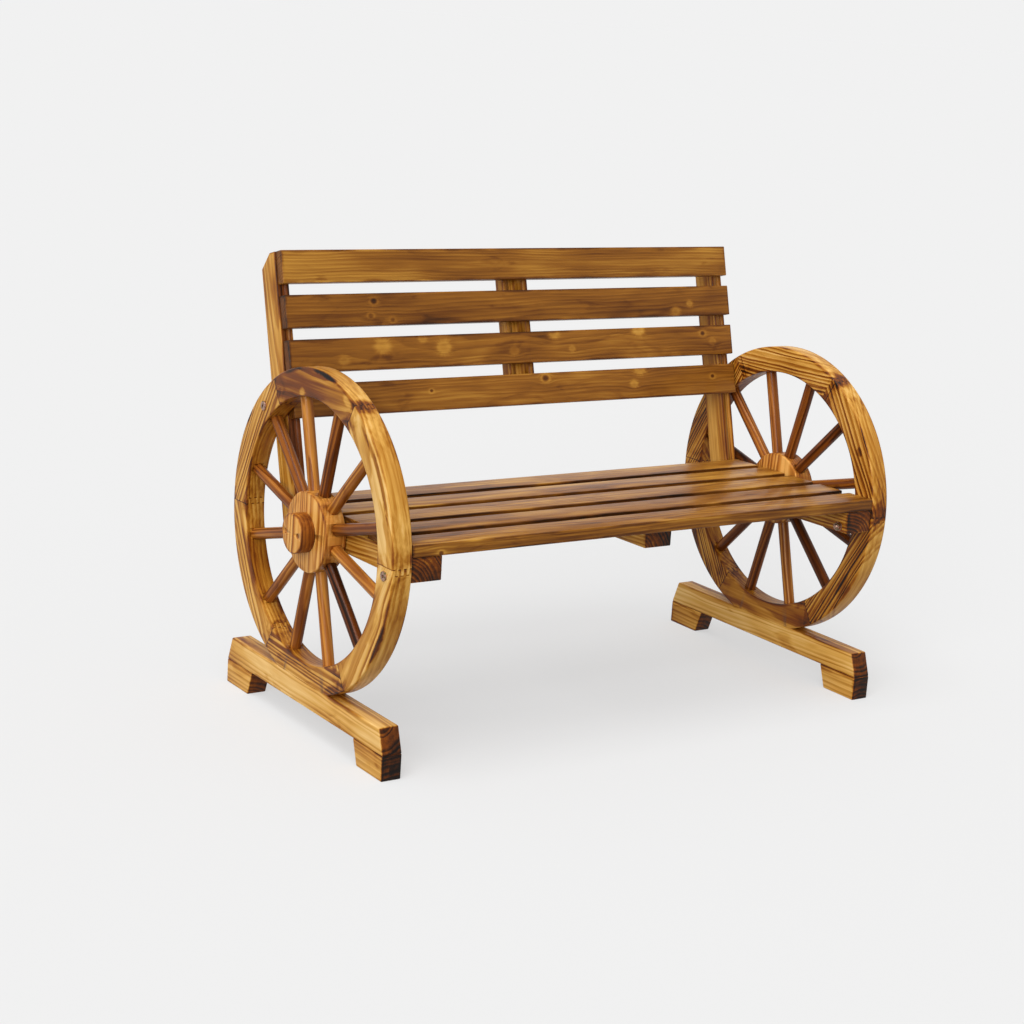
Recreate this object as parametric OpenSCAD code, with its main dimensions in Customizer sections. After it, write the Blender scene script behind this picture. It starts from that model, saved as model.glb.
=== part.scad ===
// A garden bench whose arms are two wooden wagon wheels standing on runners.
// The origin is the middle of the footprint on the floor: +X to the right, +Y to the back, +Z up.
// Everything is in millimetres.

/* [Overall] */
// Width over the outer faces of the two runners
bench_w = 1041.4; // [950:0.1:1200]
// Height of the top edge of the back
bench_h = 774.7; // [740:0.1:850]

/* [Runners] */
// Length of a runner from front to back
runner_l = 539.75; // [535:0.05:640]
// Thickness of a runner, measured across the bench
runner_t = 36; // [32:1:45]
// Height of the long rail that lies on the feet
rail_h = 42.5; // [36:0.5:60]
// Height of the foot blocks under the rail
foot_h = 42.5; // [30:0.5:60]
// Length of a foot on the floor
foot_floor_l = 79; // [70:1:100]
// How much longer a foot is where it meets the rail
foot_slope = 15; // [0:1:30]
// How far the rail's ends slope in from the seam to the top
rail_slope = 15; // [0:1:30]

/* [Wheels] */
// Outer diameter of a wheel
wheel_d = 539; // [500:1:545]
// Width of the rim, measured along a spoke
rim_w = 47.5; // [42:0.5:56]
// Thickness of the rim, measured across the bench
rim_t = 36; // [32:1:45]
// Depth of the flat that is cut under the wheel where it stands on the rail
wheel_flat = 14.5; // [8:0.5:20]
// Length of the fingers that join two felloes
finger_l = 10; // [6:1:12]
// Diameter of a spoke
spoke_d = 20; // [14:1:23]
// How deep a spoke's end sits in the rim and in the hub
spoke_tenon = 12; // [6:1:16]
// Diameter of the hub
hub_d = 135; // [115:1:160]
// Thickness of the hub
hub_t = 38; // [34:1:46]
// How far the hub stands out of the rim's outer face
hub_proud = 4.5; // [0:0.5:8]
// Diameter of the round cap on the hub
cap_d = 67; // [56:1:90]
// Thickness of the round cap on the hub
cap_t = 26; // [16:1:35]

/* [Seat] */
// Height of the seat's front top edge
seat_h = 380; // [365:1:395]
// How far the seat falls to the back, in degrees
seat_tilt = 1; // [0:0.5:3]
// Width of a seat slat
seat_slat_w = 60; // [52:1:62]
// Thickness of a seat slat
seat_slat_t = 20; // [16:1:26]
// Gap between two seat slats
seat_gap = 19; // [10:1:21]
// Gap between a seat slat's end and the wheel
seat_end_gap = 0.8; // [0.2:0.1:6]
// Width of a beam under the seat
beam_w = 56; // [40:1:70]
// Height of a beam under the seat
beam_h = 40; // [36:1:50]
// Place of the middle beam's centre line, to the right of the bench's middle
mid_beam_x = 38; // [-60:1:60]
// How far the middle beam's front end stays behind the seat's front
mid_beam_setback = 50; // [0:1:90]

/* [Back] */
// How far the back leans, in degrees from upright
back_angle = 15.3; // [10:0.1:19]
// Gap between the last seat slat and the posts
seat_back_gap = 1.5; // [0.3:0.1:8]
// Gap between a back slat's end and the wheels' inner faces
back_end_gap = 2.1; // [0:0.1:10]
// Height of a back slat, measured along the posts
back_slat_h = 56; // [48:1:60]
// Thickness of a back slat
back_slat_t = 20; // [16:1:26]
// Gap between two back slats
back_gap = 19.7; // [12:0.1:22]
// Thickness of an end post, measured across the bench
post_t = 23; // [18:1:30]
// Depth of an end post, measured from its front to its rear
post_d = 50; // [42:1:58]
// Height of the bevel on a post's top rear corner
post_bevel_h = 24; // [5:1:40]
// Depth of the bevel on a post's top rear corner
post_bevel_d = 32; // [5:1:38]
// Width of the middle batten
batten_w = 53; // [40:1:70]
// Thickness of the middle batten
batten_t = 25; // [18:1:35]

/* [Bolts] */
// Diameter of the bolts that hold the wheels
bolt_d = 8; // [6:1:10]
// Diameter of a bolt's round head
bolt_head_d = 16; // [13:0.5:20]
// Thickness of a bolt's round head
bolt_head_t = 3; // [2:0.5:5]
// Width across the flats of the key socket in a bolt's head
bolt_key = 5; // [3:0.5:6]
// Diameter of a washer
washer_d = 16; // [14:0.5:20]
// Thickness of a washer
washer_t = 1.6; // [1:0.1:2.5]
// Width across the flats of a nut
nut_w = 13; // [12:0.5:17]
// Height of a nut
nut_t = 6.5; // [5:0.5:9]
// Length of bolt that stands out of its nut
bolt_proud = 3; // [1:0.5:8]
// How far the front bolt lies under the middle of its beam's height
front_bolt_drop = 10; // [0:0.5:12]
// How far the rear bolt lies behind the post's front face
rear_bolt_depth = 14; // [11:0.5:25]

/* [Screws] */
// Diameter of the wood screws
screw_d = 4.5; // [3.5:0.5:5]
// Diameter of a wood screw's head
screw_head_d = 9; // [7:0.5:10]
// Spacing of the two screws that hold a slat on a beam or post
screw_spacing = 36; // [30:1:40]
// How deep a screw bites into a slat
slat_bite = 15; // [8:0.5:15]
// How deep a screw bites into a heavier piece, such as a rail, hub or rim
deep_bite = 20; // [12:1:24]
// How deep the screws are sunk in the end posts
post_sink = 15; // [2:1:20]
// Spacing of the two screws in a hub's cap
cap_screw_spacing = 40; // [26:1:44]

/* [Hidden] */
$fn = 96;

// Counts that make the design what it is
FELLOES = 6;
SPOKES_IN_FELLOE = 2;
FINGERS = 7;
SEAT_SLATS = 5;
BACK_SLATS = 4;

// Facets of the wheel's two rim circles
RIM_FACETS = 180;

// Clearance of a hole around its spoke, bolt or screw, and under a blind end
hole_gap = 0.1;
// Overlap by which a cutter reaches past the surface that it opens
past = 1;

// Outer and inner face of the right wheel, and half the room between the wheels
x_out = bench_w / 2;
x_in = x_out - rim_t;
rail_top = foot_h + rail_h;

// The wheel, whose flat stands on the rail
wheel_r = wheel_d / 2;
rim_in_r = wheel_r - rim_w;
bolt_circle_r = (wheel_r + rim_in_r) / 2;
wheel_z = rail_top + wheel_r - wheel_flat;
felloe_angle = 360 / FELLOES;
spoke_step = felloe_angle / SPOKES_IN_FELLOE;
finger_t = rim_t / FINGERS;
spoke_from = hub_d / 2 - spoke_tenon;
spoke_to = rim_in_r + spoke_tenon;

// The seat's own frame: its origin is the front top edge, and its Y runs down the seat's fall
seat_y = -sqrt(pow(wheel_r, 2) - pow(seat_h - wheel_z, 2));
seat_l = SEAT_SLATS * seat_slat_w + (SEAT_SLATS - 1) * seat_gap;
seat_w = 2 * (x_in - seat_end_gap);
beam_front = 1;
end_beam_x = x_in - beam_w / 2;

// The back's own frame: its origin is where the posts' front faces pass the last seat slat's
// underside, its Z runs up the posts and its Y is the depth behind their front faces
back_in_seat = [seat_l + seat_back_gap, -seat_slat_t];
back_y = seat_y + back_in_seat[0] * cos(seat_tilt) + back_in_seat[1] * sin(seat_tilt);
back_z = seat_h - back_in_seat[0] * sin(seat_tilt) + back_in_seat[1] * cos(seat_tilt);
lean_to_seat = back_angle - seat_tilt;
back_w = 2 * (x_in - back_end_gap);
back_top = (bench_h - back_z - back_slat_t * sin(back_angle)) / cos(back_angle);
back_pitch = back_slat_h + back_gap;
back_low = back_top - BACK_SLATS * back_slat_h - (BACK_SLATS - 1) * back_gap;
post_low = -beam_h / cos(lean_to_seat);
post_x = x_in - post_t / 2;
batten_inset = 4;

// Front bolt: where its height in the beam meets the middle of the rim's width, from the wheel's centre
front_bolt_z = seat_h - seat_slat_t - beam_h / 2 - front_bolt_drop - wheel_z;
front_bolt = [-sqrt(pow(bolt_circle_r, 2) - pow(front_bolt_z, 2)), front_bolt_z];
// Rear bolt: where the post crosses the middle of the rim's width, from the wheel's centre
post_from = [back_y + rear_bolt_depth * cos(back_angle),
             back_z - wheel_z - rear_bolt_depth * sin(back_angle)];
post_dir = [sin(back_angle), cos(back_angle)];
post_dot = post_from * post_dir;
post_run = sqrt(pow(post_dot, 2) - post_from * post_from + pow(bolt_circle_r, 2)) - post_dot;
rear_bolt = post_from + post_run * post_dir;
// Each bolt's place in the wheel's plane and the thickness that it clamps inside the rim
BOLTS = [[front_bolt, beam_w], [rear_bolt, post_t]];
bolt_edge = 0.6;

// Screws: sunk depths, lengths and places
screw_head_h = screw_head_d / 3;
screw_point = 5;
light_sink = 1;
seat_sink = 5;
end_sink = 10;
cap_sink = 6;
screw_edge = 8;
foot_screw_l = foot_h - light_sink + deep_bite;
rail_screw_l = rail_h - light_sink + deep_bite;
seat_screw_l = beam_h - seat_sink + slat_bite;
back_screw_l = post_d - post_sink + slat_bite;
batten_screw_l = batten_t - light_sink + slat_bite;
cap_screw_l = cap_t - cap_sink + deep_bite;
beam_end_bite = 45;
post_screw_l = post_d - end_sink + beam_end_bite;
foot_screw_inset = [25, 60];
rail_screw_y = 30;
batten_screw_x = batten_w / 4;
post_screw_z = [post_low + 10, post_low + 22];

// Beams under the seat: centre line and front end
BEAMS = [[-end_beam_x, beam_front], [mid_beam_x, mid_beam_setback], [end_beam_x, beam_front]];

// Names of the two sides and of the four feet's places
SIDES = ["left", "right"];
ENDS = ["front", "rear"];

// Colours of the scorched and varnished boards
LIGHT_WOOD = "#b97f38";
MID_WOOD = "#a4692d";
DARK_WOOD = "#7d4a24";
SPOKE_WOOD = "#7a4322";
ZINC = "#c9b46a";
STEEL = "#9a9a96";

// Puts a right-hand piece on its side: "left" mirrors it
module on_side(side) {
    mirror([side == "left" ? 1 : 0, 0, 0]) children();
}

// Draws a flat outline, whose X is the bench's Y and whose Y is its Z, from x0 and t thick
module across(x0, t) {
    translate([x0, 0, 0]) rotate([90, 0, 90]) linear_extrude(t) children();
}

// Places something in the seat's own frame
module on_seat() {
    translate([0, seat_y, seat_h]) rotate([-seat_tilt, 0, 0]) children();
}

// Places something in the back's own frame
module on_back() {
    translate([0, back_y, back_z]) rotate([-back_angle, 0, 0]) children();
}

// Places something along the spoke line at this angle of the right wheel: +X runs outwards
module along_spoke(angle) {
    translate([x_in + rim_t / 2, 0, wheel_z]) rotate([0, 0, 90]) rotate([0, -angle, 0]) children();
}

// Wood screw along +Z with its head's flat at the origin
module screw(l) {
    cylinder(h = screw_head_h, d1 = screw_head_d, d2 = screw_d);
    cylinder(h = l - screw_point, d = screw_d);
    translate([0, 0, l - screw_point]) cylinder(h = screw_point, d1 = screw_d, d2 = screw_d / 5);
}

// Hole for such a screw, whose head lies sunk under the surface
module screw_hole(l, sink) {
    translate([0, 0, -sink - past])
        cylinder(h = sink + past + hole_gap, d = screw_head_d + 2 * hole_gap);
    translate([0, 0, hole_gap])
        cylinder(h = screw_head_h, d1 = screw_head_d + 2 * hole_gap, d2 = screw_d + 2 * hole_gap);
    cylinder(h = l + hole_gap, d = screw_d + 2 * hole_gap);
}

// Draws a screw, or the hole for it
module screw_or_hole(l, sink, hole) {
    if (hole) screw_hole(l, sink);
    else screw(l);
}

// Screws up through the feet into the rail, and through the rail into the wheel's flat
module base_screws_of_side(hole = false) {
    for (end = [-1, 1]) {
        for (inset = foot_screw_inset)
            translate([x_out - runner_t / 2, end * (runner_l / 2 - inset), light_sink])
                screw_or_hole(foot_screw_l, light_sink, hole);
        translate([x_out - min(runner_t, rim_t) / 2, end * rail_screw_y, foot_h + light_sink])
            screw_or_hole(rail_screw_l, light_sink, hole);
    }
}

// Screws through a hub's cap into the hub
module cap_screws_of_side(hole = false) {
    for (end = [-1, 1])
        translate([x_out + hub_proud + cap_t - cap_sink, end * cap_screw_spacing / 2, wheel_z])
            rotate([0, -90, 0]) screw_or_hole(cap_screw_l, cap_sink, hole);
}

// Screws up through one beam into the seat slats that lie on it
module seat_screws_of_beam(beam, hole = false) {
    for (i = [0:SEAT_SLATS - 1], end = [-1, 1]) {
        y = i * (seat_slat_w + seat_gap) + seat_slat_w / 2 + end * screw_spacing / 2;
        if (y > beam[1] + screw_edge)
            on_seat() translate([beam[0], y, seat_sink - seat_slat_t - beam_h])
                screw_or_hole(seat_screw_l, seat_sink, hole);
    }
}

// Height of the middle of back slat i, counted from 0 at the top, in the back's frame
function back_slat_mid(i) = back_top - i * back_pitch - back_slat_h / 2;

// Screws forwards through the right end post into the back slats
module back_screws_of_post(hole = false) {
    for (i = [0:BACK_SLATS - 1], end = [-1, 1])
        on_back() translate([post_x, post_d - post_sink, back_slat_mid(i) + end * screw_spacing / 2])
            rotate([90, 0, 0]) screw_or_hole(back_screw_l, post_sink, hole);
}

// Screws forwards through the middle batten into the back slats
module screws_of_batten(hole = false) {
    for (i = [0:BACK_SLATS - 1], end = [-1, 1])
        on_back() translate([end * batten_screw_x, batten_t - light_sink, back_slat_mid(i)])
            rotate([90, 0, 0]) screw_or_hole(batten_screw_l, light_sink, hole);
}

// Screws forwards through the right post's lower end into the rear end of its beam
module screws_of_post_foot(hole = false) {
    for (z = post_screw_z)
        on_back() translate([post_x, post_d - end_sink, z])
            rotate([90, 0, 0]) screw_or_hole(post_screw_l, end_sink, hole);
}

// Through holes for the two bolts of the right wheel
module bolt_holes() {
    for (b = BOLTS)
        translate([x_in - b[1] - past, b[0][0], wheel_z + b[0][1]]) rotate([0, 90, 0])
            cylinder(h = rim_t + b[1] + 2 * past, d = bolt_d + 2 * hole_gap);
}

// Long rail of the right runner, whose ends slope out down to the seam with the feet
module rail() {
    color(LIGHT_WOOD) difference() {
        across(x_out - runner_t, runner_t) polygon([
            [-runner_l / 2, foot_h], [runner_l / 2, foot_h],
            [runner_l / 2 - rail_slope, rail_top], [-runner_l / 2 + rail_slope, rail_top]
        ]);
        base_screws_of_side(hole = true);
    }
}

// Foot block under the right rail: end is -1 at the front and 1 at the rear
module foot(end) {
    outer = end * runner_l / 2;
    color(MID_WOOD) difference() {
        across(x_out - runner_t, runner_t) polygon([
            [outer, 0], [outer, foot_h],
            [outer - end * (foot_floor_l + foot_slope), foot_h], [outer - end * foot_floor_l, 0]
        ]);
        base_screws_of_side(hole = true);
    }
}

// Part of the wheel's plane between two radial lines, both moved apart by half a finger
module felloe_wedge(from, to) {
    near = rim_in_r / 2;
    far = 2 * wheel_r;
    half = finger_l / 2;
    mid = (from + to) / 2;
    polygon([
        near * [cos(from), sin(from)] + half * [sin(from), -cos(from)],
        far * [cos(from), sin(from)] + half * [sin(from), -cos(from)],
        far * [cos(mid), sin(mid)],
        far * [cos(to), sin(to)] + half * [-sin(to), cos(to)],
        near * [cos(to), sin(to)] + half * [-sin(to), cos(to)]
    ]);
}

// Slots between the fingers at a felloe's end: every second layer, starting with this one.
// past_side is -1 where the wood ends below the joint's line and 1 where it ends above it
module finger_slots(angle, first, past_side) {
    across_l = finger_l + past;
    for (j = [first:2:FINGERS - 1])
        translate([x_in + j * finger_t, 0, wheel_z]) rotate([90, 0, 90]) rotate(angle)
            translate([rim_in_r - 2 * past, past_side < 0 ? -across_l + finger_l / 2 : -finger_l / 2,
                       j == 0 ? -past : 0])
                cube([rim_w + 4 * past, across_l,
                      finger_t + (j == 0 || j == FINGERS - 1 ? past : 0)]);
}

// One felloe of the right wheel, counted from 1 at the upper rear over the top to the front
module felloe(i) {
    from = (i - 1) * felloe_angle;
    to = from + felloe_angle;
    color(i % 2 == 0 ? LIGHT_WOOD : MID_WOOD) difference() {
        translate([0, 0, wheel_z]) across(x_in, rim_t) difference() {
            intersection() {
                circle(wheel_r, $fn = RIM_FACETS);
                felloe_wedge(from, to);
                translate([-wheel_r, wheel_flat - wheel_r]) square(2 * wheel_r);
            }
            circle(rim_in_r, $fn = RIM_FACETS);
        }
        finger_slots(from, 1, -1);
        finger_slots(to, 0, 1);
        for (k = [0:SPOKES_IN_FELLOE - 1])
            along_spoke(from + (k + 0.5) * spoke_step) rotate([0, 90, 0])
                translate([0, 0, rim_in_r - rim_w / 2])
                    cylinder(h = rim_w / 2 + spoke_tenon, d = spoke_d + 2 * hole_gap);
        bolt_holes();
        base_screws_of_side(hole = true);
    }
}

// The spokes of one felloe of the right wheel, round rods from the hub to the rim
module spokes(i) {
    from = (i - 1) * felloe_angle;
    color(SPOKE_WOOD)
        for (k = [0:SPOKES_IN_FELLOE - 1])
            along_spoke(from + (k + 0.5) * spoke_step) rotate([0, 90, 0])
                translate([0, 0, spoke_from + hole_gap])
                    cylinder(h = spoke_to - spoke_from - 2 * hole_gap, d = spoke_d);
}

// Hub of the right wheel, with a blind hole for each spoke
module hub() {
    color(MID_WOOD) difference() {
        translate([x_out + hub_proud - hub_t, 0, wheel_z]) rotate([0, 90, 0])
            cylinder(h = hub_t, d = hub_d);
        for (k = [0:FELLOES * SPOKES_IN_FELLOE - 1])
            along_spoke((k + 0.5) * spoke_step) rotate([0, 90, 0])
                translate([0, 0, spoke_from]) cylinder(h = spoke_tenon + past, d = spoke_d + 2 * hole_gap);
        cap_screws_of_side(hole = true);
    }
}

// Round cap screwed on the outer face of the right hub
module hub_cap() {
    color(LIGHT_WOOD) difference() {
        translate([x_out + hub_proud, 0, wheel_z]) rotate([0, 90, 0]) cylinder(h = cap_t, d = cap_d);
        cap_screws_of_side(hole = true);
    }
}

// Seat slat, counted from 1 at the front
module seat_slat(i) {
    color(i == 2 || i == 5 ? DARK_WOOD : MID_WOOD) difference() {
        on_seat() translate([-seat_w / 2, (i - 1) * (seat_slat_w + seat_gap), -seat_slat_t])
            cube([seat_w, seat_slat_w, seat_slat_t]);
        for (b = BEAMS) seat_screws_of_beam(b, hole = true);
    }
}

// End beam under the seat, on the right wheel's inner face: its rear end lies against the post
module end_beam() {
    color(LIGHT_WOOD) difference() {
        on_seat() translate([end_beam_x - beam_w / 2, 0, 0]) rotate([90, 0, 90]) linear_extrude(beam_w)
            polygon([
                [beam_front, -seat_slat_t],
                back_in_seat,
                back_in_seat + [-beam_h * tan(lean_to_seat), -beam_h],
                [beam_front, -seat_slat_t - beam_h]
            ]);
        seat_screws_of_beam(BEAMS[2], hole = true);
        bolt_holes();
        screws_of_post_foot(hole = true);
    }
}

// Middle beam under the seat, whose ends are free
module middle_beam() {
    color(LIGHT_WOOD) difference() {
        on_seat() translate([mid_beam_x - beam_w / 2, mid_beam_setback, -seat_slat_t - beam_h])
            cube([beam_w, seat_l - mid_beam_setback, beam_h]);
        seat_screws_of_beam(BEAMS[1], hole = true);
    }
}

// Back slat, counted from 1 at the top
module back_slat(i) {
    color(i == 2 || i == 4 ? DARK_WOOD : LIGHT_WOOD) difference() {
        on_back() translate([-back_w / 2, -back_slat_t, back_top - (i - 1) * back_pitch - back_slat_h])
            cube([back_w, back_slat_t, back_slat_h]);
        for (s = SIDES) on_side(s) back_screws_of_post(hole = true);
        screws_of_batten(hole = true);
    }
}

// Right end post, bolted to the wheel, with a bevel on its top rear corner
module post() {
    color(MID_WOOD) difference() {
        on_back() across(x_in - post_t, post_t) polygon([
            [0, post_low], [post_d, post_low],
            [post_d, back_top - post_bevel_h], [post_d - post_bevel_d, back_top], [0, back_top]
        ]);
        back_screws_of_post(hole = true);
        screws_of_post_foot(hole = true);
        bolt_holes();
    }
}

// Flat batten behind the middle of the back slats
module middle_batten() {
    color(MID_WOOD) difference() {
        on_back() translate([-batten_w / 2, 0, back_low + batten_inset])
            cube([batten_w, batten_t, back_top - back_low - 2 * batten_inset]);
        screws_of_batten(hole = true);
    }
}

// Bolt of the right wheel with a round head outside and a key socket in it
module wheel_bolt(place, grip) {
    l = rim_t + grip + washer_t + nut_t + bolt_proud;
    translate([x_out, place[0], wheel_z + place[1]]) rotate([0, 90, 0]) difference() {
        union() {
            translate([0, 0, -l]) cylinder(h = l, d = bolt_d);
            cylinder(h = bolt_head_t - bolt_edge, d = bolt_head_d);
            translate([0, 0, bolt_head_t - bolt_edge])
                cylinder(h = bolt_edge, d1 = bolt_head_d, d2 = bolt_head_d - 2 * bolt_edge);
        }
        translate([0, 0, bolt_head_t / 3])
            cylinder(h = bolt_head_t, d = bolt_key / cos(30), $fn = 6);
    }
}

// Washer under the nut, on the clamped piece's inner face
module wheel_washer(place, grip) {
    translate([x_in - grip, place[0], wheel_z + place[1]]) rotate([0, -90, 0]) difference() {
        cylinder(h = washer_t, d = washer_d);
        translate([0, 0, -past]) cylinder(h = washer_t + 2 * past, d = bolt_d + 2 * hole_gap);
    }
}

// Nut on the washer
module wheel_nut(place, grip) {
    translate([x_in - grip - washer_t, place[0], wheel_z + place[1]]) rotate([0, -90, 0]) difference() {
        cylinder(h = nut_t, d = nut_w / cos(30), $fn = 6);
        translate([0, 0, -past]) cylinder(h = nut_t + 2 * past, d = bolt_d + 2 * hole_gap);
    }
}

for (s = SIDES) {
    on_side(s) rail();
    on_side(s) foot(-1);
    on_side(s) foot(1);
    for (i = [1:FELLOES]) {
        on_side(s) felloe(i);
        on_side(s) spokes(i);
    }
    on_side(s) hub();
    on_side(s) hub_cap();
    on_side(s) end_beam();
    on_side(s) post();
    color(ZINC) on_side(s) for (b = BOLTS) wheel_bolt(b[0], b[1]);  // wheel_bolts
    color(ZINC) on_side(s) for (b = BOLTS) wheel_washer(b[0], b[1]);  // wheel_washers
    color(ZINC) on_side(s) for (b = BOLTS) wheel_nut(b[0], b[1]);  // wheel_nuts
    color(STEEL) on_side(s) base_screws_of_side();  // base_screws
    color(STEEL) on_side(s) cap_screws_of_side();  // cap_screws
    color(STEEL) on_side(s) back_screws_of_post();  // back_screws
    color(STEEL) on_side(s) screws_of_post_foot();  // post_screws
}
for (i = [1:SEAT_SLATS])
    seat_slat(i);
for (i = [1:BACK_SLATS])
    back_slat(i);
middle_beam();
middle_batten();
color(STEEL) for (b = BEAMS) seat_screws_of_beam(b);  // seat_screws
color(STEEL) screws_of_batten();  // batten_screws
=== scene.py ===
"""A garden bench with wagon wheels for arms, in torched, brushed and varnished fir.

The CAD frame gives every piece its place. This script gives the pieces their worn arrises, their
screws and spokes and their finishes, and sets up the studio and the camera. Lengths are in metres,
apart from the values in millimetres that are multiplied by MM.
"""
import logging
import math
import random
from collections.abc import Callable
from dataclasses import dataclass, replace
from enum import Enum
from functools import partial

import bmesh
import bpy
import numpy as np
from bmesh.types import BMesh
from bpy.types import Material, Mesh, Modifier, Node, NodeSocket, NodeTree, Object
from mathutils import Matrix, Vector


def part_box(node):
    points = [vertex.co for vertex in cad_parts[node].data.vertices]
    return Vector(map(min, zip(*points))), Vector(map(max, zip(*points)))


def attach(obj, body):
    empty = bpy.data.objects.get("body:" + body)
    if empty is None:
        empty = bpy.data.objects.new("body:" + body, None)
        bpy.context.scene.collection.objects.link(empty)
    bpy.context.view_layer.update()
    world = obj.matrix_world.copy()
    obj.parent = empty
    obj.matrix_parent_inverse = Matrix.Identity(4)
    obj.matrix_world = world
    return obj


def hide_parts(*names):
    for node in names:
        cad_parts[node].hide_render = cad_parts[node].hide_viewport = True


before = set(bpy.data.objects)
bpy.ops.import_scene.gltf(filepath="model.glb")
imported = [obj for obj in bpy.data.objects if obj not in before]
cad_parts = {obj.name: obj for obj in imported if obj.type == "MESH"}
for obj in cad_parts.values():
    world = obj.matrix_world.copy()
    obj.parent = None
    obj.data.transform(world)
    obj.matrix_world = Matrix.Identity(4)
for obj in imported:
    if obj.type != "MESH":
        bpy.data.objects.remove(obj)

LOG = logging.getLogger("bench")
MM = 0.001
BODY = "root"
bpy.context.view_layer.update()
X_AXIS, Y_AXIS, Z_AXIS = (1.0, 0.0, 0.0), (0.0, 1.0, 0.0), (0.0, 0.0, 1.0)

# The studio's white, which the floor, the backdrop and every reflection show
STUDIO_WHITE = "#f1f1f1"

# Vertices this close together are one, and vertices this close to a face lie on it
MERGED = 0.002 * MM
TOUCHING = 0.01 * MM

# The property that the second word of a node's kind sets
MAIN_SETTING = {"Math": "operation", "VectorMath": "operation", "MapRange": "interpolation_type",
                "Attribute": "attribute_name"}


class Outline(Enum):
    """How the finish finds a wooden piece's arrises."""

    BOARD = "board"
    RING = "ring"
    ROD = "rod"


class KnotKind(Enum):
    """How much darker the torch left a knot's surround and its core."""

    PALE = (-0.2, 0.06)
    FAINT = (-0.1, 0.03)
    DARK = (-0.1, 0.42)
    RED = (-0.08, 0.2)


def linear(colour: str) -> tuple[float, ...]:
    """Turns an sRGB hex colour into linear red, green, blue and alpha.

    Args:
        colour: Six hex digits after a hash sign.

    Returns:
        The linear colour with an alpha of 1.
    """
    parts = [int(colour[i:i + 2], 16) / 255 for i in (1, 3, 5)]
    return (*[p / 12.92 if p <= 0.04045 else ((p + 0.055) / 1.055) ** 2.4 for p in parts], 1.0)


def add(tree: NodeTree, kind: str, *values: object, out: int | str = 0,
        **settings: object) -> NodeSocket:
    """Adds one node to a tree with its settings, values and links.

    Args:
        tree: The node tree.
        kind: The node's type name, which for a shader node leaves out the prefix. A second word
            is the main setting.
        *values: Values or output sockets for the inputs in order. None leaves an input alone.
        out: Index or name of the output that is returned.
        **settings: The node's own properties. A key with a capital is an input's name, with
            underscores for its spaces.

    Returns:
        The chosen output socket, or the node's first input where it has no output.
    """
    name, _, main_word = kind.partition(" ")
    node = tree.nodes.new(name if "Node" in name else "ShaderNode" + name)
    if main_word:
        setattr(node, MAIN_SETTING[name], main_word)
    inputs: dict[int | str, object] = {i: v for i, v in enumerate(values) if v is not None}
    for key, value in settings.items():
        if key[0].isupper():
            inputs[key.replace("_", " ")] = value
        else:
            setattr(node, key, value)
    for key, value in inputs.items():
        if isinstance(value, NodeSocket):
            tree.links.new(value, node.inputs[key])
        else:
            node.inputs[key].default_value = value
    return node.outputs[out] if len(node.outputs) else node.inputs[0]


def fill_ramp(socket: NodeSocket, stops: tuple[tuple[float, str], ...]) -> None:
    """Sets the stops of a colour ramp.

    Args:
        socket: An output of the ramp's node.
        stops: Position and sRGB hex colour of each stop, in order.
    """
    elements = socket.node.color_ramp.elements
    while len(elements) < len(stops):
        elements.new(1.0)
    for element, (place, colour) in zip(elements, stops):
        element.position = place
        element.color = linear(colour)


def new_material(name: str) -> tuple[Material, NodeTree]:
    """Starts a node material.

    Args:
        name: The material's name.

    Returns:
        The material and its empty tree.
    """
    material = bpy.data.materials.new(name)
    material.use_nodes = True
    material.node_tree.nodes.clear()
    return material, material.node_tree


def node_copy(name: str) -> BMesh:
    """Copies a CAD node's mesh and merges its loose triangles.

    Args:
        name: The CAD node's name.

    Returns:
        Closed shells whose faces point outwards.
    """
    shape = bmesh.new()
    shape.from_mesh(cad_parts[name].data)
    bmesh.ops.remove_doubles(shape, verts=shape.verts, dist=MERGED)
    return shape


def to_mesh(shape: BMesh, name: str) -> Mesh:
    """Writes a bmesh to a new mesh and frees it.

    Args:
        shape: The bmesh.
        name: The new mesh's name.

    Returns:
        The mesh.
    """
    mesh = bpy.data.meshes.new(name)
    shape.to_mesh(mesh)
    shape.free()
    return mesh


def place_object(name: str, mesh: Mesh) -> Object:
    """Puts a mesh in the scene as an object at the origin.

    Args:
        name: The object's name.
        mesh: Its mesh, whose vertices hold its place.

    Returns:
        The linked object.
    """
    obj = bpy.data.objects.new(name, mesh)
    bpy.context.scene.collection.objects.link(obj)
    return obj


def discard(*objects: Object) -> None:
    """Removes helper objects and their meshes.

    Args:
        *objects: The objects.
    """
    for obj in objects:
        mesh = obj.data
        bpy.data.objects.remove(obj)
        bpy.data.meshes.remove(mesh)


def evaluated_mesh(obj: Object, name: str) -> Mesh:
    """Turns an object with its modifiers into a plain mesh.

    Args:
        obj: The object with live modifiers.
        name: Name of the new mesh.

    Returns:
        A new mesh that has the modifiers' result.
    """
    bpy.context.view_layer.update()
    graph = bpy.context.evaluated_depsgraph_get()
    mesh = bpy.data.meshes.new_from_object(obj.evaluated_get(graph), depsgraph=graph)
    mesh.name = name
    return mesh


def points_of(mesh: Mesh) -> np.ndarray:
    """Reads a mesh's vertices.

    Args:
        mesh: The mesh.

    Returns:
        One row for each vertex.
    """
    points = np.zeros(len(mesh.vertices) * 3, np.float32)
    mesh.vertices.foreach_get("co", points)
    return points.reshape(-1, 3)


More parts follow.
